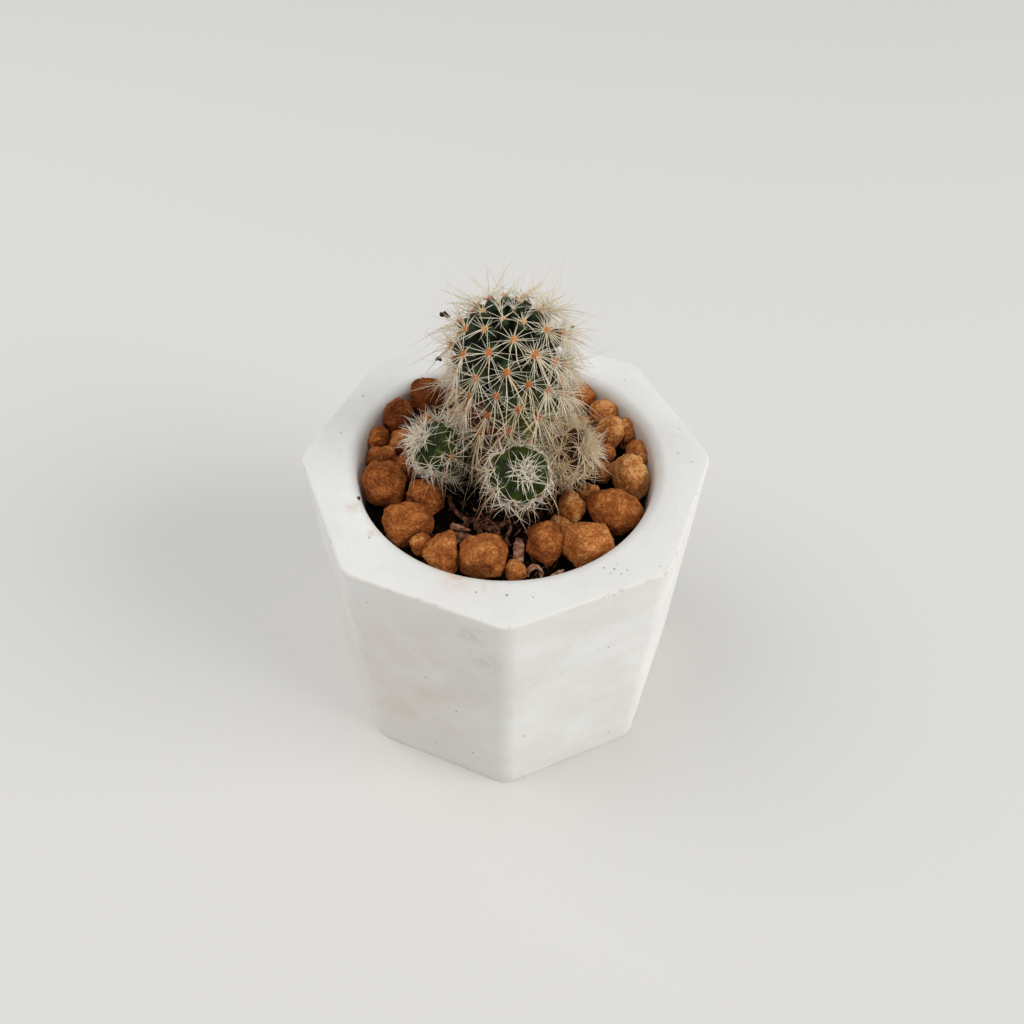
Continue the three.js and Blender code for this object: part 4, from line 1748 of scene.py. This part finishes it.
@dataclass
class Litter:
    """Dead plant matter between the granules, a crumb on the rim, and grit caught in the spines."""

    # Specks of grit: where each is, and its radius.
    grit: tuple[tuple[float, float, float, float], ...] = (
        (-10.8, 12.0, 81.0, 0.64),
        (-10.2, 11.9, 80.7, 0.44),
        (-11.4, 4.2, 77.6, 0.44),
        (11.3, 9.8, 80.0, 0.3),
        (-26.1, -9.9, 57.95, 0.34),
    )
    scraps: int = 46
    seed: int = 41

    def build(self) -> list[Piece]:
        """Models the litter.

        Returns:
            Its pieces.
        """
        finishes = {
            "bark_chip": (HUSK, Slot.HUSK),
            "bark_flake": (BARK, Slot.BARK),
            "pale_flake": (HUSK, Slot.HUSK),
            "sliver": (HUSK, Slot.HUSK),
            "twig": (BARK, Slot.BARK),
            "rootlet": (BARK, Slot.BARK),
            "husk": (HUSK, Slot.HUSK),
            "withered_offset": (WITHERED, Slot.WITHERED),
        }
        pieces = [self.weathered(node, *finish) for node, finish in finishes.items()]
        return [*pieces, self.scatter_scraps(), self.caught_grit()]

    def weathered(self, node: str, finish: Finish, slot: Slot) -> Piece:
        """Models one piece of litter from its CAD node, shrunken and ragged.

        Args:
            node: the CAD node.
            finish: what it is made of.
            slot: the record's slot of that finish; not used.

        Returns:
            The piece.
        """
        piece = copy_of_node(node)
        small = node in ("twig", "rootlet", "husk")
        remesh(piece, 0.09 if small else 0.14, 3)
        roughen(piece, grain=0.9, depth=0.22 if small else 0.5, octaves=3)
        smooth(piece, 60)
        return settle(piece, node + "_dried", finish, [node])

    def scatter_scraps(self) -> Piece:
        """Models torn scraps of dead skin and bark that lie on the soil in front of the plant.

        Returns:
            One piece of all the scraps.
        """
        ball, faces = pebble(2)
        rng = np.random.default_rng(self.seed)
        scraps = []
        for _ in range(self.scraps):
            size = np.array([rng.uniform(0.6, 1.9), rng.uniform(0.3, 0.6), rng.uniform(0.1, 0.2)])
            ragged = ball * rng.uniform(0.7, 1.3, (len(ball), 1)) * size
            ragged[:, 2] += 0.12 * ragged[:, 0] ** 2 * rng.uniform(-1, 1)
            turn = Matrix.Rotation(rng.uniform(0, 2 * math.pi), 3, "Z")
            tilt = Matrix.Rotation(rng.normal(0, 0.35), 3, "Y")
            at = (rng.normal(-3.5, 5.2), rng.normal(-12.8, 3.2), 50.6 + rng.random() * 1.2)
            scraps.append(ragged @ np.array(turn @ tilt).T + at)
        piece = heap("scraps", scraps, faces)
        smooth(piece, 50)
        return settle(piece, "dead_scraps", SCRAP)

    def caught_grit(self) -> Piece:
        """Models the black specks.

        Returns:
            One piece of all the specks.
        """
        grit = joined_balls(self.grit, 3, (1.25, 0.8, 0.7))
        bpy.ops.object.transform_apply(location=True)
        roughen(grit, grain=0.55, depth=0.75, octaves=1)
        smooth(grit, 60)
        return settle(grit, "caught_grit", GRIT)


# ---------------------------------------------------------------- studio


@dataclass
class Studio:
    """A plain pale floor, two soft lights, a pale sky and the camera, whose angles are degrees."""

    aim: Triple = (1.27, -0.03, 42.8)
    distance: float = 161.86
    elevation: float = 49.05
    turn: float = 1.145
    roll: float = 0.881
    lens: float = 28.66
    sensor: float = 36.0
    nearest: float = 0.005
    floor_size: float = 6.0
    sky: float = 0.49
    # The lights from the upper left and the right front: each one's direction, its distance and
    # size in metres, and its power.
    lamps: tuple[tuple[Triple, float, float, float], ...] = (
        ((-0.55, 0.05, 0.83), 1.2, 1.1, 5.0),
        ((0.8, -0.27, 0.45), 2.0, 1.4, 20.5),
    )

    def build(self) -> None:
        """Sets the floor, lights and camera."""
        scene = bpy.context.scene
        scene.view_settings.view_transform = "Standard"
        put_down()
        bpy.ops.mesh.primitive_plane_add(size=self.floor_size)
        floor = bpy.context.object
        floor.name = "studio_floor"
        floor.data.materials.append(BOARD.material())
        self.add_lights(scene)
        self.add_camera(scene)

    def add_lights(self, scene: bpy.types.Scene) -> None:
        """Adds the sky and the soft lights.

        Args:
            scene: the scene.
        """
        world = bpy.data.worlds.new("pale_sky")
        world.use_nodes = True
        sky = world.node_tree.nodes["Background"]
        sky.inputs["Color"].default_value = linear("#FFFFFF")
        sky.inputs["Strength"].default_value = self.sky
        scene.world = world
        for direction, distance, size, power in self.lamps:
            towards = Vector(direction).normalized()
            bpy.ops.object.light_add(type="AREA", location=towards * distance)
            lamp = bpy.context.object
            lamp.rotation_euler = towards.to_track_quat("Z", "Y").to_euler()
            lamp.data.shape = "DISK"
            lamp.data.size = size
            lamp.data.energy = power
            lamp.visible_camera = False

    def add_camera(self, scene: bpy.types.Scene) -> None:
        """Adds the camera, which looks down at the plant with one corner of the pot towards it.

        Args:
            scene: the scene.
        """
        elevation, turn, roll = (math.radians(a) for a in (self.elevation, self.turn, self.roll))
        flat = math.cos(elevation)
        forward = Vector((math.sin(turn) * flat, math.cos(turn) * flat, -math.sin(elevation)))
        eye = (Vector(self.aim) - forward * self.distance) * MM
        bpy.ops.object.camera_add()
        camera = bpy.context.object
        camera.matrix_world = (
            Matrix.Translation(eye)
            @ Matrix.Rotation(-turn, 4, "Z")
            @ Matrix.Rotation(math.pi / 2 - elevation, 4, "X")
            @ Matrix.Rotation(roll, 4, "Z")
        )
        camera.data.lens = self.lens
        camera.data.sensor_width = self.sensor
        camera.data.clip_start = self.nearest
        scene.camera = camera


OFFSETS = (
    Offset(
        name="front_offset",
        form=StemForm(
            base=(2.2, -9.9, 63.9),
            grows=(0.18, -0.62, 0.77),
            radius=5.1,
            dome_height=4.7,
            column_length=8.0,
            foot_radius=2.55,
            tubercle_height=0.7,
        ),
        turn=0.3,
        crown_length=3.3,
        crown_radials=9,
        ring_radials=11,
        ring_length=3.5,
        ring_age=0.2,
        ring_curl=0.42,
        seed=31,
    ),
    Offset(
        name="left_offset",
        form=StemForm(
            base=(-12.4, -0.9, 61.8),
            grows=(-0.6, -0.28, 0.75),
            radius=4.7,
            dome_height=4.3,
            column_length=9.0,
            foot_radius=2.35,
            tubercle_height=0.7,
        ),
        turn=1.1,
        crown_length=4.5,
        crown_radials=10,
        ring_radials=15,
        ring_length=3.9,
        ring_age=0.12,
        ring_curl=0.12,
        bare=(0.78, -0.5, 0.38),
        elders=((0.57, -0.79, 0.23),),
        seed=32,
    ),
    Offset(
        name="right_offset",
        form=StemForm(
            base=(11.2, -3.4, 63.2),
            grows=(0.66, -0.5, 0.56),
            radius=4.3,
            dome_height=3.96,
            column_length=8.0,
            foot_radius=2.15,
            tubercle_height=0.7,
        ),
        turn=2.0,
        crown_length=4.4,
        crown_radials=16,
        crown_age=0.4,
        ring_radials=26,
        ring_length=4.2,
        ring_age=0.5,
        ring_curl=0.22,
        skin=CORKY_SKIN,
        seed=33,
    ),
)


def main() -> None:
    """Builds the studio and the plant, and reports each piece."""
    logging.basicConfig(level=logging.INFO, format="%(message)s")
    Studio().build()
    makers = (CastPot(), PottedSoil(), TopDressing(), MainStem(), *OFFSETS, Litter())
    for maker in makers:
        made = maker.build()
        pieces = made if isinstance(made, list) else [made]
        LOG.info("%s: %d pieces", type(maker).__name__, len(pieces))


if __name__ == "__main__":
    main()
